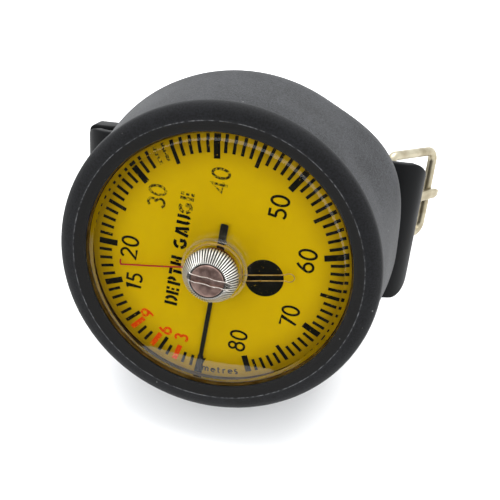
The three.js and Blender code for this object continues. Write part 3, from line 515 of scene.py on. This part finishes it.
LIP_R = 36
CREASE_R = 35.6
BACK_R = 39.8
BACK_ROUND_R = 3.3
BACK_Z = -27.1
LIP_INNER_R = 29.9
CAVITY_R = 32.6
CAVITY_TOP_Z = 0.6
CAVITY_Z = -23.2
STRAP_T = 2.6
STRAP_GAP = 0.4  # clear space over and under the strap in its bridges
STRAP_Z = BACK_Z - STRAP_GAP - STRAP_T / 2
BRIDGE_X = 22
BRIDGE_HALF_W = 4
BRIDGE_HALF_Y = 25
BRIDGE_POST = 2.7
BRIDGE_T = 2.6
BRIDGE_EDGE = 0.5
VENT_R = 1.6
VENT_RING_R = 30
VENT_ANGLES = (-120, -90, -60)
SWELL = 2.2  # how far the wall stands out beside the strap's shoulder
SWELL_AT = 33  # degrees round the boot, as is the next
SWELL_HALF_ARC = 30


def boot_profile():
    """The boot's section: a flared wall, a crease under the lip, and a full round lip with its ridge."""
    rim = arc(BACK_R - BACK_ROUND_R, BACK_Z + BACK_ROUND_R, BACK_ROUND_R, -90, 0, 14)
    wall = [(BACK_R - 0.02, -22), (BACK_R - 1.6, -14), (BACK_R - 3.1, -6)]
    lip = curved([(CREASE_R, -0.95), (LIP_R - 0.12, -0.62), (LIP_R, 0), (LIP_R - 0.45, 1.1),
                  (LIP_R - 1.7, 1.82), (PARTING_R + 0.22, 2.02)], 5)
    ridge = [(PARTING_R, 2.14), (PARTING_R - 0.2, 2.0)]
    inner = curved([(LIP_R - 4.8, 1.75), (LIP_INNER_R + 0.35, 1.35), (LIP_INNER_R, 1.0)], 5)
    cavity = [(LIP_INNER_R, CAVITY_TOP_Z), (CAVITY_R, CAVITY_TOP_Z), (CAVITY_R, CAVITY_Z), (0, CAVITY_Z)]
    return [(0, BACK_Z), (20, BACK_Z), *rim, *curved(wall, 4), *lip, *ridge, *inner, *cavity]


def strap_bridge(x):
    """A U of rubber on the boot's back: two posts and the bar that holds the strap in."""
    inner_y, root_z = BRIDGE_HALF_Y - BRIDGE_POST, BACK_Z + 0.6
    inner_z = STRAP_Z - STRAP_T / 2 - STRAP_GAP
    outer_z = inner_z - BRIDGE_T
    corner = 1.8
    outline = [(-BRIDGE_HALF_Y, root_z), *arc(-BRIDGE_HALF_Y + corner, outer_z + corner, corner, 180, 270, 6),
               *arc(BRIDGE_HALF_Y - corner, outer_z + corner, corner, 270, 360, 6), (BRIDGE_HALF_Y, root_z),
               (inner_y, root_z), (inner_y, inner_z), (-inner_y, inner_z), (-inner_y, root_z)]
    vertices = [(x + side * BRIDGE_HALF_W, y, z) for side in (-1, 1) for y, z in outline]
    return soften(build("strap_bridge", vertices, plate_faces(len(outline))), BRIDGE_EDGE)


def vent(degrees):
    place = STAND @ Matrix.Translation(Vector((*polar(VENT_RING_R, degrees), 0)) * MM)
    low, high = BACK_Z - 1, CAVITY_Z + 1
    return turned("vent", [(0, low), (VENT_R, low), (VENT_R, high), (0, high)], 32, place)


def strap_swell(radius, height, angle):
    """Pushes the boot's wall out where the strap's upper right shoulder spreads it."""
    off = (math.degrees(angle) - SWELL_AT + 180) % 360 - 180
    if radius < CAVITY_R + 1 or abs(off) > SWELL_HALF_ARC:
        return radius, height
    deep = min(1, max(0, (-7 - height) / 14))
    return radius + SWELL * deep * math.cos(math.pi / 2 * off / SWELL_HALF_ARC) ** 2, height


def make_boot():
    body = turned("rubber_boot_shell", boot_profile(), 224, ripple=strap_swell, crease=50)
    combine(body, [strap_bridge(BRIDGE_X), strap_bridge(-BRIDGE_X)], "UNION", 50)
    combine(body, [vent(degrees) for degrees in VENT_ANGLES], "DIFFERENCE", 50)
    fit(body, "gauge", "boot_rubber", BOOT_RUBBER, "rubber_boot")


make_boot()

# ---------------- lens and dial

DIAL_TOP_Z = -3.4
DIAL_R = 29.3
DIAL_T = 0.5
DIAL_BORE_R = 1.9
LENS_BORE_R = 2.3
LENS_UNDER_Z = -1.6
LENS_TOP_Z = 1.5
BOSS_R = 7.0
INK_LEVELS = (DIAL_TOP_Z + 0.005, DIAL_TOP_Z + 0.03)  # the ink's underside and its top


def make_lens():
    """The domed window: a flange held under the boot's lip, a bevel, the dome and a rimmed, bored boss."""
    flange = [(LENS_BORE_R, LENS_UNDER_Z), (31.2, LENS_UNDER_Z), (31.2, -0.9), (29.5, -0.9), (29.5, -0.25)]
    dome = curved([(28.05, 0.82), (22, 1.18), (14, 1.42), (7.4, LENS_TOP_Z)], 8)
    boss = [*arc(BOSS_R - 0.2, 1.7, 0.2, 0, 90, 4), *arc(BOSS_R - 0.45, 1.7, 0.2, 90, 180, 4),
            (BOSS_R - 0.65, LENS_TOP_Z), (LENS_BORE_R, LENS_TOP_Z)]
    profile = flange + dome + boss
    lens = turned("domed_lens", profile, 192, GAUGE, crease=25)
    fit(lens, "gauge", "clear_acrylic", ACRYLIC, "lens")
    section = [(6, 1.52), (6.35, 1.52), (6.35, 1.66), (6.2, 1.74), (6, 1.74)]
    fit(turned("knob_seat_ring", section, 96, GAUGE), "gauge", "brass", BRASS)


def make_dial():
    under, edge = DIAL_TOP_Z - DIAL_T, 0.12
    profile = [(DIAL_BORE_R, under), (DIAL_R, under), (DIAL_R, DIAL_TOP_Z - edge),
               (DIAL_R - edge, DIAL_TOP_Z), (DIAL_BORE_R + edge, DIAL_TOP_Z), (DIAL_BORE_R, DIAL_TOP_Z - edge)]
    dial = turned("dial_disc", profile, 192, GAUGE, crease=60)
    fit(dial, "gauge", "yellow_enamel", YELLOW_ENAMEL, "dial_plate")


SHALLOW_PITCH = 4.35  # degrees a metre to 20 m
DEEP_PITCH = 4.13  # and below it
TURN_AT_20 = 87


def depth_angle(depth):
    """Where a depth in metres stands on the dial, in degrees: evenly to 20, then a little closer together."""
    turn = SHALLOW_PITCH * depth if depth <= 20 else TURN_AT_20 + DEEP_PITCH * (depth - 20)
    return -90 - turn


class Print:
    """Ink shapes that share one object: thin raised films on the dial's face."""

    def __init__(self):
        self.vertices, self.faces = [], []

    def stroke(self, points, width, closed=False):
        """A line of ink of one width through the points."""
        points = [Vector(p) for p in points]
        count = len(points)
        base = len(self.vertices)
        for i, point in enumerate(points):
            before = points[i - 1] if i or closed else point
            after = points[(i + 1) % count] if i + 1 < count or closed else point
            along = (after - before).normalized()
            side = Vector((-along.y, along.x)) * width / 2
            turn = 1.0
            if point != before and point != after:
                bend = (point - before).normalized().dot(along)
                turn = 1 / max(bend, 0.6)
            self.vertices += [(*(point + sign * side * turn), z) for z in INK_LEVELS for sign in (1, -1)]
        for i in range(count if closed else count - 1):
            a, b = base + 4 * i, base + 4 * ((i + 1) % count)
            for j, k in ((0, 1), (1, 3), (3, 2), (2, 0)):
                self.faces.append((a + j, a + k, b + k, b + j))
        if not closed:
            end = base + 4 * (count - 1)
            self.faces += [(base, base + 1, base + 3, base + 2), (end, end + 1, end + 3, end + 2)]

    def patch(self, outline):
        """A filled shape."""
        self.faces += plate_faces(len(outline), len(self.vertices))
        self.vertices += [(x, y, z) for z in INK_LEVELS for x, y in outline]

    def tick(self, degrees, inner, outer, width):
        self.stroke([polar(inner, degrees), polar(outer, degrees)], width)

    def finish(self, name, ink):
        fit(build(name, self.vertices, self.faces, GAUGE), "gauge", "yellow_enamel", ink)


def glyph(width, *strokes, loops=()):
    """A letter or a numeral as pen strokes in a box one unit high, open ones and loops, and its width."""
    return [(points, False) for points in strokes] + [(points, True) for points in loops], width


RING = [(0.3 + 0.27 * x, 0.5 + 0.5 * y) for x, y in (polar(1, 360 * i / 28) for i in range(28))]
SIX = [(0.44, 0.99), (0.3, 0.86), (0.16, 0.66), (0.05, 0.42)]
GLYPHS = {
    "0": glyph(0.6, loops=[RING]),
    "1": glyph(0.3, [(0.02, 0.84), (0.2, 1), (0.2, 0)]),
    "2": glyph(0.6, [*arc(0.29, 0.73, 0.26, 165, -40, 12), (0.02, 0.03), (0.6, 0.03)]),
    "3": glyph(0.56, [*arc(0.27, 0.76, 0.23, 150, -75, 12), *arc(0.27, 0.27, 0.27, 75, -150, 12)]),
    "4": glyph(0.6, [(0.44, 0), (0.44, 0.98), (0, 0.28), (0.6, 0.28)]),
    "5": glyph(0.56, [(0.52, 0.97), (0.14, 0.97), (0.1, 0.55), *arc(0.26, 0.31, 0.28, 115, -140, 12)]),
    "6": glyph(0.6, SIX, loops=[arc(0.29, 0.29, 0.27, 0, 348, 24)]),
    "7": glyph(0.56, [(0, 0.97), (0.56, 0.97), (0.18, 0)]),
    "8": glyph(0.6, loops=[arc(0.29, 0.77, 0.22, 0, 348, 20), arc(0.29, 0.28, 0.27, 0, 348, 22)]),
    "9": glyph(0.6, [(0.58 - x, 1 - y) for x, y in SIX], loops=[arc(0.29, 0.71, 0.27, 0, 348, 24)]),
    "m": glyph(0.8, [(0, 0), (0, 0.62)], [(0, 0.42), *arc(0.19, 0.42, 0.19, 150, 0, 6), (0.38, 0)],
               [(0.38, 0.42), *arc(0.57, 0.42, 0.19, 150, 0, 6), (0.76, 0)]),
    "e": glyph(0.52, [(0.02, 0.33), (0.5, 0.33), *arc(0.26, 0.31, 0.27, 5, 315, 14)]),
    "t": glyph(0.36, [(0.12, 0.85), (0.12, 0.1), (0.3, 0.02)], [(-0.05, 0.6), (0.32, 0.6)]),
    "r": glyph(0.36, [(0, 0), (0, 0.62)], [(0, 0.38), *arc(0.22, 0.38, 0.22, 150, 60, 5)]),
    "s": glyph(0.42, [*arc(0.21, 0.46, 0.16, 40, 250, 9), *arc(0.21, 0.15, 0.16, 70, -140, 9)]),
    # Heavy stencil capitals, whose strokes stand apart.
    "D": glyph(0.78, [(0.1, 0), (0.1, 1)], arc(0.3, 0.5, 0.42, 72, -72, 12)),
    "E": glyph(0.7, [(0.1, 0), (0.1, 1)], [(0.36, 0.88), (0.62, 0.88)], [(0.36, 0.5), (0.56, 0.5)],
               [(0.36, 0.12), (0.62, 0.12)]),
    "P": glyph(0.66, [(0.1, 0), (0.1, 1)], arc(0.32, 0.7, 0.24, 84, -84, 10)),
    "T": glyph(0.74, [(0.36, 0), (0.36, 0.7)], [(0.02, 0.89), (0.7, 0.89)]),
    "H": glyph(0.8, [(0.1, 0), (0.1, 1)], [(0.66, 0), (0.66, 1)], [(0.3, 0.5), (0.47, 0.5)]),
    "G": glyph(0.88, arc(0.42, 0.5, 0.4, 60, 168, 9), arc(0.42, 0.5, 0.4, 192, 330, 10),
               [(0.5, 0.42), (0.84, 0.42)]),
    "A": glyph(0.82, [(0.06, 0), (0.34, 1)], [(0.74, 0), (0.5, 1)], [(0.34, 0.22), (0.5, 0.22)]),
    "U": glyph(0.78, [(0.1, 1), (0.1, 0.35), *arc(0.3, 0.3, 0.2, 180, 260, 4)],
               [*arc(0.46, 0.3, 0.2, -80, 0, 4), (0.66, 0.35), (0.66, 1)]),
    " ": glyph(0.35),
}


def write(inks, text, centre, height, width, gap=0.18, narrow=1, turn=90):
    """Writes text about a centre on the dial, its letters in inks in turn and then in the last ink.
    narrow squeezes it, and turn is the direction that it runs in, in degrees."""
    total = sum(GLYPHS[letter][1] + gap for letter in text) - gap
    run, rise = Vector(polar(narrow, turn)), Vector(polar(1, turn + 90))
    pen = -total / 2
    for i, letter in enumerate(text):
        ink = inks[min(i, len(inks) - 1)]
        strokes, advance = GLYPHS[letter]
        for points, closed in strokes:
            placed = [Vector(centre) + height * (run * (pen + x) + rise * (y - 0.5)) for x, y in points]
            ink.stroke([tuple(p) for p in placed], width, closed)
        pen += advance + gap


TICK_END_R = 27.8
BROAD_TICKS = (15, 20, 30, 40, 50, 60, 70, 80)
FADED_TICKS = (33, 34)
STOPS = (3, 6, 9)

# Where each numeral's middle is: degrees clockwise from the pointer's rest, and the radius in mm.
BLACK_NUMERALS = {15: (62.8, 20.8), 20: (86.1, 20.6), 50: (213.3, 19.2), 60: (253, 19.7), 70: (294.5, 19.9),
                  80: (336.2, 19.4)}
FADED_NUMERALS = {30: (127.2, 19.9), 40: (171.4, 19)}
ORANGE_NUMERALS = {3: (14.4, 21.6), 6: (25.3, 22.2), 9: (40.4, 22.1)}


def make_scale():
    """The depth scale: ticks each metre, longer at fives, broad at the numerals, orange at the stops."""
    black, faded, orange = Print(), Print(), Print()
    for depth in range(1, 81):
        angle = depth_angle(depth)
        ink = faded if depth in FADED_TICKS else black
        if depth in STOPS:
            orange.tick(angle, 23.7, TICK_END_R, 1.2)
        elif depth in BROAD_TICKS:
            black.tick(angle, 23.5, TICK_END_R, 1.4)
        elif depth % 5 == 0:
            ink.tick(angle, 23.5, TICK_END_R, 0.85)
        else:
            ink.tick(angle, 24.8, TICK_END_R, 0.7)
    # The mark at zero, broad at the rim and pointed towards the scale.
    black.patch([(-1.0, -29.1), (0.9, -29.1), (0.85, -26.2), (1.35, -24.6), (0.7, -24.9), (0.65, -24.2),
                 (-0.7, -24.2), (-0.9, -26.4)])
    for ink, numerals, height, width in ((black, BLACK_NUMERALS, 3.7, 0.56),
                                         (faded, FADED_NUMERALS, 3.7, 0.56),
                                         (orange, ORANGE_NUMERALS, 2.9, 0.62)):
        for depth, (turn, radius) in numerals.items():
            write([ink], str(depth), polar(radius, -90 - turn), height, width)
    write([black] * 9 + [faded], "DEPTH GAUGE", (-9.2, 0.9), 3.05, 0.74, gap=0.24, narrow=0.86)
    for i, letter in enumerate("metres"):
        degrees = -90 + 3.4 + 2.9 * i + (0.9 if i else 0)
        write([black], letter, polar(27.3, degrees), 1.75, 0.32, turn=degrees + 90)
    black.patch(arc(10.7, -0.7, 4.4, 0, 352, 44))
    black.finish("dial_print_black", BLACK_INK)
    faded.finish("dial_print_faded", FADED_INK)
    orange.finish("dial_print_orange", ORANGE_INK)


make_lens()
make_dial()
make_scale()

# ---------------- hands

POINTER_Z = -3.05
HAND_Z = -2.2
HUB_HALF_T = 0.2
HAND_TURN = -90 - 17.2 * SHALLOW_PITCH  # the greatest depth that the hand shows, 17.2 m


def make_pointer():
    tip, tail = 28.4, 9.6
    blade = [(tip, 0.12), (tip - 1.2, 0.5), *arc(0, 0, 2.1, 14, 156, 12), (-tail + 0.2, 0.86), (-tail, 0.7)]
    outline = blade + [(x, -y) for x, y in reversed(blade)]
    pointer = slab("depth_pointer", outline, POINTER_Z, POINTER_Z + 0.25,
                   GAUGE @ Matrix.Rotation(math.radians(-90), 4, "Z"))
    soften(pointer, 0.08, 2)
    fit(pointer, "pointer", "black_paint", BLACK_LACQUER, "main_pointer")


def make_maximum_hand():
    """The hand that the pointer leaves behind: a red wire with a hooked tip, balanced by a brass hairpin."""
    place = GAUGE @ Matrix.Rotation(math.radians(HAND_TURN), 4, "Z")
    hook = curved([(2.4, 0.5), (12, 0.2), (21.6, -0.3), (22.3, -0.35), (22.5, -0.8), (22.35, -1.6)], 8)
    front = flat_wire("maximum_hand_wire", hook, HAND_Z, round_wire(0.2, 12), place)
    fit(front, "knob", "red_paint", RED_LACQUER, "max_depth_hand")
    pin = curved([(-1.6, 2.4), (-4, 2.2), (-9, 2.25), (-14.6, 2.2), (-15.6, 1.95), (-16.6, 2.1), (-17.1, 2.9),
                  (-16.6, 3.7), (-15.6, 3.85), (-14.6, 3.6), (-9, 3.6), (-4, 3.55), (-2.2, 2.7)], 6)
    tail = flat_wire("maximum_hand_hairpin", pin, HAND_Z, round_wire(0.13, 12), place)
    fit(tail, "knob", "brass", HAIR_BRASS)
    under, over = HAND_Z - HUB_HALF_T, HAND_Z + HUB_HALF_T
    section = [(2.2, under), (3.6, under), (3.7, HAND_Z), (3.5, over), (2.2, over)]
    fit(turned("maximum_hand_hub", section, 64, place), "knob", "brass", BRASS)


make_pointer()
make_maximum_hand()

# ---------------- reset knob

KNOB_R = 6.2
KNOB_BOTTOM_Z = 2.6
KNOB_SIDE_TOP_Z = 4.9
KNOB_TOP_Z = 7.6
KNOB_RECESS_Z = 6.4
KNOB_FACE_IN_R = 3.9
SCREW_R = 3.6
SLOT_HALF_W = 0.78


def serration(radius, height, angle):
    """Cuts the knob's sloping face and its side into radial ridges, uneven from wear."""
    crest = 0.5 + 0.5 * math.cos(KNOB_SERRATIONS * angle)
    uneven = 0.8 + 0.2 * math.sin(7 * angle + 1.3) * math.sin(11 * angle)
    if radius < KNOB_FACE_IN_R + 0.05 or height < KNOB_BOTTOM_Z + 0.2:
        return radius, height
    if height < KNOB_SIDE_TOP_Z - 0.05:
        return radius - 0.26 * (1 - crest) * uneven, height
    fade = min(1, (radius - KNOB_FACE_IN_R) / 0.5)
    return radius - 0.15 * (1 - crest), height - 0.34 * (1 - crest) * uneven * fade


def slot_cutter(x0, x1, floor):
    """A saw-cut slot whose sides wander a little."""
    steps = 14
    low, high = [], []
    for i in range(steps + 1):
        x = x0 + (x1 - x0) * i / steps
        wander = 0.09 * math.sin(2.3 * i) + 0.05 * math.sin(5.1 * i + 1)
        low.append((x, -SLOT_HALF_W + wander))
        high.append((x, SLOT_HALF_W + 0.7 * wander))
    return slab("slot", low + high[::-1], floor, 9)


def make_knob():
    slope = [(KNOB_R + (KNOB_FACE_IN_R + 0.25 - KNOB_R) * i / 8,
              KNOB_SIDE_TOP_Z + (KNOB_TOP_Z - KNOB_SIDE_TOP_Z) * (i / 8) ** 0.85) for i in range(9)]
    side = [(2.2, KNOB_BOTTOM_Z), (KNOB_R - 1, KNOB_BOTTOM_Z), (KNOB_R - 0.45, KNOB_SIDE_TOP_Z - 1.2),
            (KNOB_R - 0.05, KNOB_SIDE_TOP_Z - 0.7), (KNOB_R, KNOB_SIDE_TOP_Z - 0.3)]
    recess = [(KNOB_FACE_IN_R, KNOB_TOP_Z - 0.06), (KNOB_FACE_IN_R, KNOB_RECESS_Z), (2.2, KNOB_RECESS_Z)]
    knob = turned("serrated_knob", side + slope + recess, KNOB_SERRATIONS * 10, GAUGE, serration, 50)
    slots = [slot_cutter(0, 5.4, KNOB_TOP_Z - 0.9), slot_cutter(-4.9, 0, KNOB_TOP_Z - 0.45)]
    combine(knob, slots, "DIFFERENCE", 50)
    fit(knob, "knob", "turned_aluminium", ALUMINIUM, "reset_knob")
    under, top = KNOB_RECESS_Z + 0.3, KNOB_TOP_Z + 0.15
    stem = [(0, 3.5), (1.2, 3.5), (1.2, under), (SCREW_R, under), (SCREW_R, top - 0.25)]
    face = [*arc(SCREW_R - 0.2, top - 0.22, 0.2, 0, 80, 4), (2, top), (0, top)]
    head = turned("knob_screw_head", stem + face, 96, GAUGE)
    combine(head, [slot_cutter(-4.4, 5, top - 0.45)])
    for sign, side in ((-1, "left"), (1, "right")):
        edge = [(-3.9 + 1.3 * i, sign * (SLOT_HALF_W + 0.09 * math.sin(2.3 * i + sign))) for i in range(8)]
        burr = flat_wire(f"knob_slot_burr_{side}", curved(edge, 4), top - 0.02, round_wire(0.09, 10), GAUGE)
        # The burrs take the paler metal, partly a painted highlight along the slot's edges.
        fit(burr, "knob", "tarnished_nickel", BURR_AND_HIGHLIGHT_METAL)
    fit(head, "knob", "tarnished_nickel", TARNISHED, "reset_knob_screw")


make_knob()

# ---------------- strap

STRAP_Y = 5.4
TAIL_HALF_W = 10.75
PAD_HALF_W = 16.5
PAD_CORNER = 3.6
PAD_BELOW = 2.7  # how much further the pad reaches below the strap's middle than above it
PAD_LEFT_ABOVE = -1.2  # and above it on the left
TIP_R = 10.75
HOLE_COUNT = 6
HOLE_PITCH = 8
HOLE_FROM_TIP = 14
HINGE = STAND.inverted() @ Vector(joints["buckle_turn"]["pos_m"]) / MM
EYE_BORE_R = 1.6
EYE_R = 3.8
RIGHT_BEND_R, RIGHT_FLAT = 5, 38.2
LEFT_BEND_R, LEFT_FLAT = 7.2, 36
KEEPER_ALONG_WALL = 16.1
KEEPER_HALF_W = 3.5
KEEPER_HALF_T = 0.7
KEEPER_GAP = 0.4
KEEPER_ROOM = 3.2  # for the strap's spare end to pass through


def walk(heading, moves):
    """Follows lines and bends from the pad's middle. Each point is x, z, heading and distance walked."""
    x, z, gone = 0, STRAP_Z, 0
    points = [(x, z, heading, gone)]
    for length, turn, steps in moves:
        for _ in range(steps):
            heading += turn / steps / 2
            step = length / steps
            x += step * math.cos(math.radians(heading))
            z += step * math.sin(math.radians(heading))
            heading += turn / steps / 2
            gone += step
            points.append((x, z, heading, gone))
    return points


def bend(radius, turn, steps):
    """A bend as a move: its length, its turn and its steps."""
    return radius * math.radians(abs(turn)), turn, steps


RIGHT_TAIL = walk(0, [(34, 0, 3), (RIGHT_FLAT - 34, 0, 6), bend(RIGHT_BEND_R, -110, 36), (15.5, 0, 6)])
LEFT_TAIL = walk(180, [(32, 0, 3), (LEFT_FLAT - 32, 0, 6), bend(LEFT_BEND_R, 85, 34), (23, 0, 10),
                       bend(26, 95, 48), (38, 0, 20), bend(26, 35, 60)])
STRAP_END = LEFT_TAIL[-1][3]


def pad_half_width(plan_x, edge_x):
    """Half the pad's width where its outer face stands plan_x from the middle: full, then a round corner."""
    into = plan_x - (edge_x - PAD_CORNER)
    if into <= 0:
        return PAD_HALF_W
    return PAD_HALF_W - PAD_CORNER + math.sqrt(max(0, PAD_CORNER ** 2 - min(into, PAD_CORNER) ** 2))


def shoulder(gone, flat, radius, edge_x, apex, narrow):
    """Half the strap's width along one bend: the pad's corner up to the apex angle, then down to the tail."""
    if gone <= flat:
        return PAD_HALF_W
    angle = math.degrees((gone - flat) / radius)
    width = pad_half_width(flat + (radius + STRAP_T / 2) * math.sin(math.radians(min(angle, apex))), edge_x)
    if angle <= apex:
        return width
    share = min(1, (angle - apex) / (narrow - apex))
    return width + (TAIL_HALF_W - width) * (3 * share ** 2 - 2 * share ** 3)


def right_half_width(gone):
    return shoulder(gone, RIGHT_FLAT, RIGHT_BEND_R, 44.5, 88, 108)


def left_half_width(gone):
    width = shoulder(gone, LEFT_FLAT, LEFT_BEND_R, 44.1, 70, 84)
    left = STRAP_END - gone
    if left < TIP_R:
        width = max(0.4, math.sqrt(TIP_R ** 2 - (TIP_R - left) ** 2))
    return width


def strap_cylinder(name, radius, half_y):
    """A round bar across the strap at the hinge."""
    path = [(HINGE.x, STRAP_Y - half_y, HINGE.z), (HINGE.x, STRAP_Y + half_y, HINGE.z)]
    return swept(name, path, round_wire(radius, 48), (1, 0, 0))


def strap_hole(back):
    """A round-ended cutter through the long tail, a distance back from its tip."""
    x, z, heading, _ = min(LEFT_TAIL, key=lambda point: abs(point[3] - (STRAP_END - back)))
    spot = Matrix.Translation(Vector((x, STRAP_Y, z)) * MM)
    place = STAND @ spot @ Matrix.Rotation(math.radians(-heading), 4, "Y")
    return slab("strap_hole", rounded_box(2, 1.2, 1.15, 6), -3, 3, place)


def make_strap():
    stations = [(x, z, right_half_width(gone), 0) for x, z, _, gone in reversed(RIGHT_TAIL)]
    stations += [(x, z, left_half_width(gone), PAD_LEFT_ABOVE * min(1, gone / 30))
                 for x, z, _, gone in LEFT_TAIL[1:]]
    path = [(x, STRAP_Y, z) for x, z, _, _ in stations]
    sections = []
    for _, _, half, above in stations:
        share = max(0, (half - TAIL_HALF_W) / (PAD_HALF_W - TAIL_HALF_W))
        top, bottom = half + above * share, half + PAD_BELOW * share
        outline = rounded_box((top + bottom) / 2, STRAP_T / 2, min(0.45, half * 0.9), 3)
        sections.append([(y + (top - bottom) / 2, z) for y, z in outline])
    strap = swept("rubber_strap", path, lambda i: sections[i], (0, 1, 0), crease=50)
    combine(strap, [strap_cylinder("strap_eye", EYE_R, TAIL_HALF_W - 0.2)], "UNION", 50)
    holes = [strap_hole(HOLE_FROM_TIP + HOLE_PITCH * i) for i in range(HOLE_COUNT)]
    combine(strap, [strap_cylinder("bore", EYE_BORE_R, 20), strap_cylinder("notch", 6.5, 2), *holes],
            "DIFFERENCE", 50)
    fit(strap, "gauge", "strap_rubber", STRAP_RUBBER, "wrist_strap")


def make_keeper():
    """The loop that holds the strap's spare end: a moulded band round the strap's left wall."""
    top = min(point[3] for point in LEFT_TAIL if point[3] > LEFT_FLAT + LEFT_BEND_R * math.radians(85) - 0.01)
    x, z, heading, _ = min(LEFT_TAIL, key=lambda point: abs(point[3] - top))
    along = Vector((math.cos(math.radians(heading)), 0, math.sin(math.radians(heading))))
    place = Vector((x, STRAP_Y, z)) + along * KEEPER_ALONG_WALL
    out = Vector((0, 1, 0)).cross(along)
    low = -(STRAP_T / 2 + KEEPER_GAP + KEEPER_HALF_T)
    high = STRAP_T / 2 + KEEPER_GAP + KEEPER_ROOM + KEEPER_HALF_T
    outline = rounded_box(TAIL_HALF_W + 1.1, (high - low) / 2, 1.2, 6)
    path = [place + Vector((0, 1, 0)) * a + out * (b + (high + low) / 2) for a, b in outline]
    section = rounded_box(KEEPER_HALF_W, KEEPER_HALF_T, 0.5, 4)
    keeper = swept("keeper_loop", path, lambda i: section, along, closed=True, crease=50)
    fit(keeper, "keeper", "strap_rubber", STRAP_RUBBER, "strap_keeper")


make_strap()
make_keeper()

# ---------------- buckle

WIRE_R = 1.35
BUCKLE_LENGTH = 20.9
BUCKLE_HALF_W = 12.8
BUCKLE_ANGLE = 51  # degrees that the buckle is turned about its hinge from the stand frame's x
PRONG_EYE_R = 2.42
BUCKLE = STAND @ Matrix.Translation(HINGE * MM) @ Matrix.Rotation(math.radians(BUCKLE_ANGLE), 4, "Y")


def make_buckle():
    near, far = 1.8, 3.2
    half, length = BUCKLE_HALF_W, BUCKLE_LENGTH
    side = [(near + (length - near - far) * i / 12, -half) for i in range(1, 12)]
    bar = [(length, -half + far + (2 * half - 2 * far) * i / 14) for i in range(1, 14)]
    lower = [(0, -0.4), (0, -half / 2), *arc(near, near - half, near, 180, 270, 10), *side,
             *arc(length - far, far - half, far, -90, 0, 14)]
    route = [*lower, *bar, *[(x, -y) for x, y in reversed(lower)]]
    wire = flat_wire("buckle_wire", route, 0, round_wire(WIRE_R, 24), BUCKLE)
    fit(wire, "buckle", "nickel_plate", NICKEL, "buckle_frame")


def make_prong():
    """A flat wire curled round the hinge bar, running out over the outer bar to a point."""
    eye = arc(0, 0, PRONG_EYE_R, 90, 380, 30)
    arm = [(3 + 19.6 * i / 20, 2.62 - 0.0012 * i * i) for i in range(21)]
    tip = [(23.2, 2.12), (23.7, 2.05), (24, 2.0)]
    path = [(x, 0, z) for x, z in [*eye, *arm, *tip]]
    halves = [(1.5, 0.8)] * (len(path) - 4) + [(1.3, 0.72), (1.05, 0.6), (0.8, 0.45), (0.45, 0.3)]
    sections = [rounded_box(width, depth, 0.7 * depth, 4) for width, depth in halves]
    prong = swept("buckle_pin", path, lambda i: sections[i], (0, 1, 0), BUCKLE, crease=60)
    fit(prong, "prong", "nickel_plate", NICKEL, "buckle_prong")


make_buckle()
make_prong()

# ---------------- the parts inside

INSIDE = {
    BRASS: ["case_cup", "bezel_ring", "pointer_hub", "diaphragm_ring", "oil_fill_screw", "sector_gear",
            "link", "upper_plate", "lower_plate", *[f"pillar_{i}" for i in range(1, 5)], "tube_tip",
            "tube_socket"],
    BRONZE: ["knob_spring_washer", "hairspring", "bourdon_tube"],
    STEEL: [*[f"diaphragm_screw_{i}" for i in range(1, 4)], "knob_shaft", "sector_arbor", "link_pin",
            "pointer_arbor", *[f"plate_screw_{i}" for i in range(1, 5)], "socket_screw_1", "socket_screw_2"],
    SEAL_RUBBER: ["lens_gasket", "knob_o_ring", "pressure_diaphragm", "oil_fill_seal"],
}
for finish, names in INSIDE.items():
    for name in names:
        mesh = frame["nodes"][name].data
        mesh.materials.clear()
        mesh.materials.append(finish)

# ---------------- table and light

TABLE_R = 330
TABLE_BACK = 140  # how far behind the gauge the table's middle is
LIGHT_POWER = 9
LIGHT_SIZE = 0.8
LIGHT_AT = Vector((0.05, 0.35, 0.9))
LIGHT_AIM = Vector((0, 0, 0.03))
ROOM_FRONT = (-0.12, -0.98, 0.12)  # the way from the gauge to the middle of the room's dark side


def make_table():
    rim = arc(0, TABLE_BACK, TABLE_R, 0, 357.5, 143)
    table = build("table", [(x, y, 0) for x, y in rim], [tuple(range(len(rim)))], Matrix())
    table.data.materials.append(white_table())


def hang_ceiling_light():
    """A soft panel high above and behind the gauge."""
    data = bpy.data.lights.new("ceiling_light", "AREA")
    data.energy = LIGHT_POWER
    data.size = LIGHT_SIZE
    lamp = bpy.data.objects.new("ceiling_light", data)
    bpy.context.scene.collection.objects.link(lamp)
    lamp.location = LIGHT_AT
    lamp.rotation_euler = (LIGHT_AIM - LIGHT_AT).to_track_quat("-Z", "Y").to_euler()


def light_room():
    """A white room, dark only straight in front, so that the lens mirrors no glare into the camera."""
    world = bpy.data.worlds.new("studio")
    world.use_nodes = True
    tree = world.node_tree
    ray = add(tree, "ShaderNodeTexCoord").outputs["Generated"]
    ahead = add(tree, "ShaderNodeVectorMath", {0: ray, 1: ROOM_FRONT},
                operation="DOT_PRODUCT").outputs["Value"]
    clear = add(tree, "ShaderNodeMapRange", {"Value": ahead, "From Min": 0.93, "From Max": 0.8},
                interpolation_type="SMOOTHSTEP").outputs[0]
    shade = add(tree, "ShaderNodeMix", {"Factor": clear, "A": colour("#202122"), "B": colour("#f6f8fa")},
                data_type="RGBA").outputs["Result"]
    background = tree.nodes["Background"]
    tree.links.new(shade, background.inputs["Color"])
    background.inputs["Strength"].default_value = 1.75
    bpy.context.scene.world = world


make_table()
hang_ceiling_light()
light_room()
bpy.context.scene.view_settings.view_transform = "Standard"
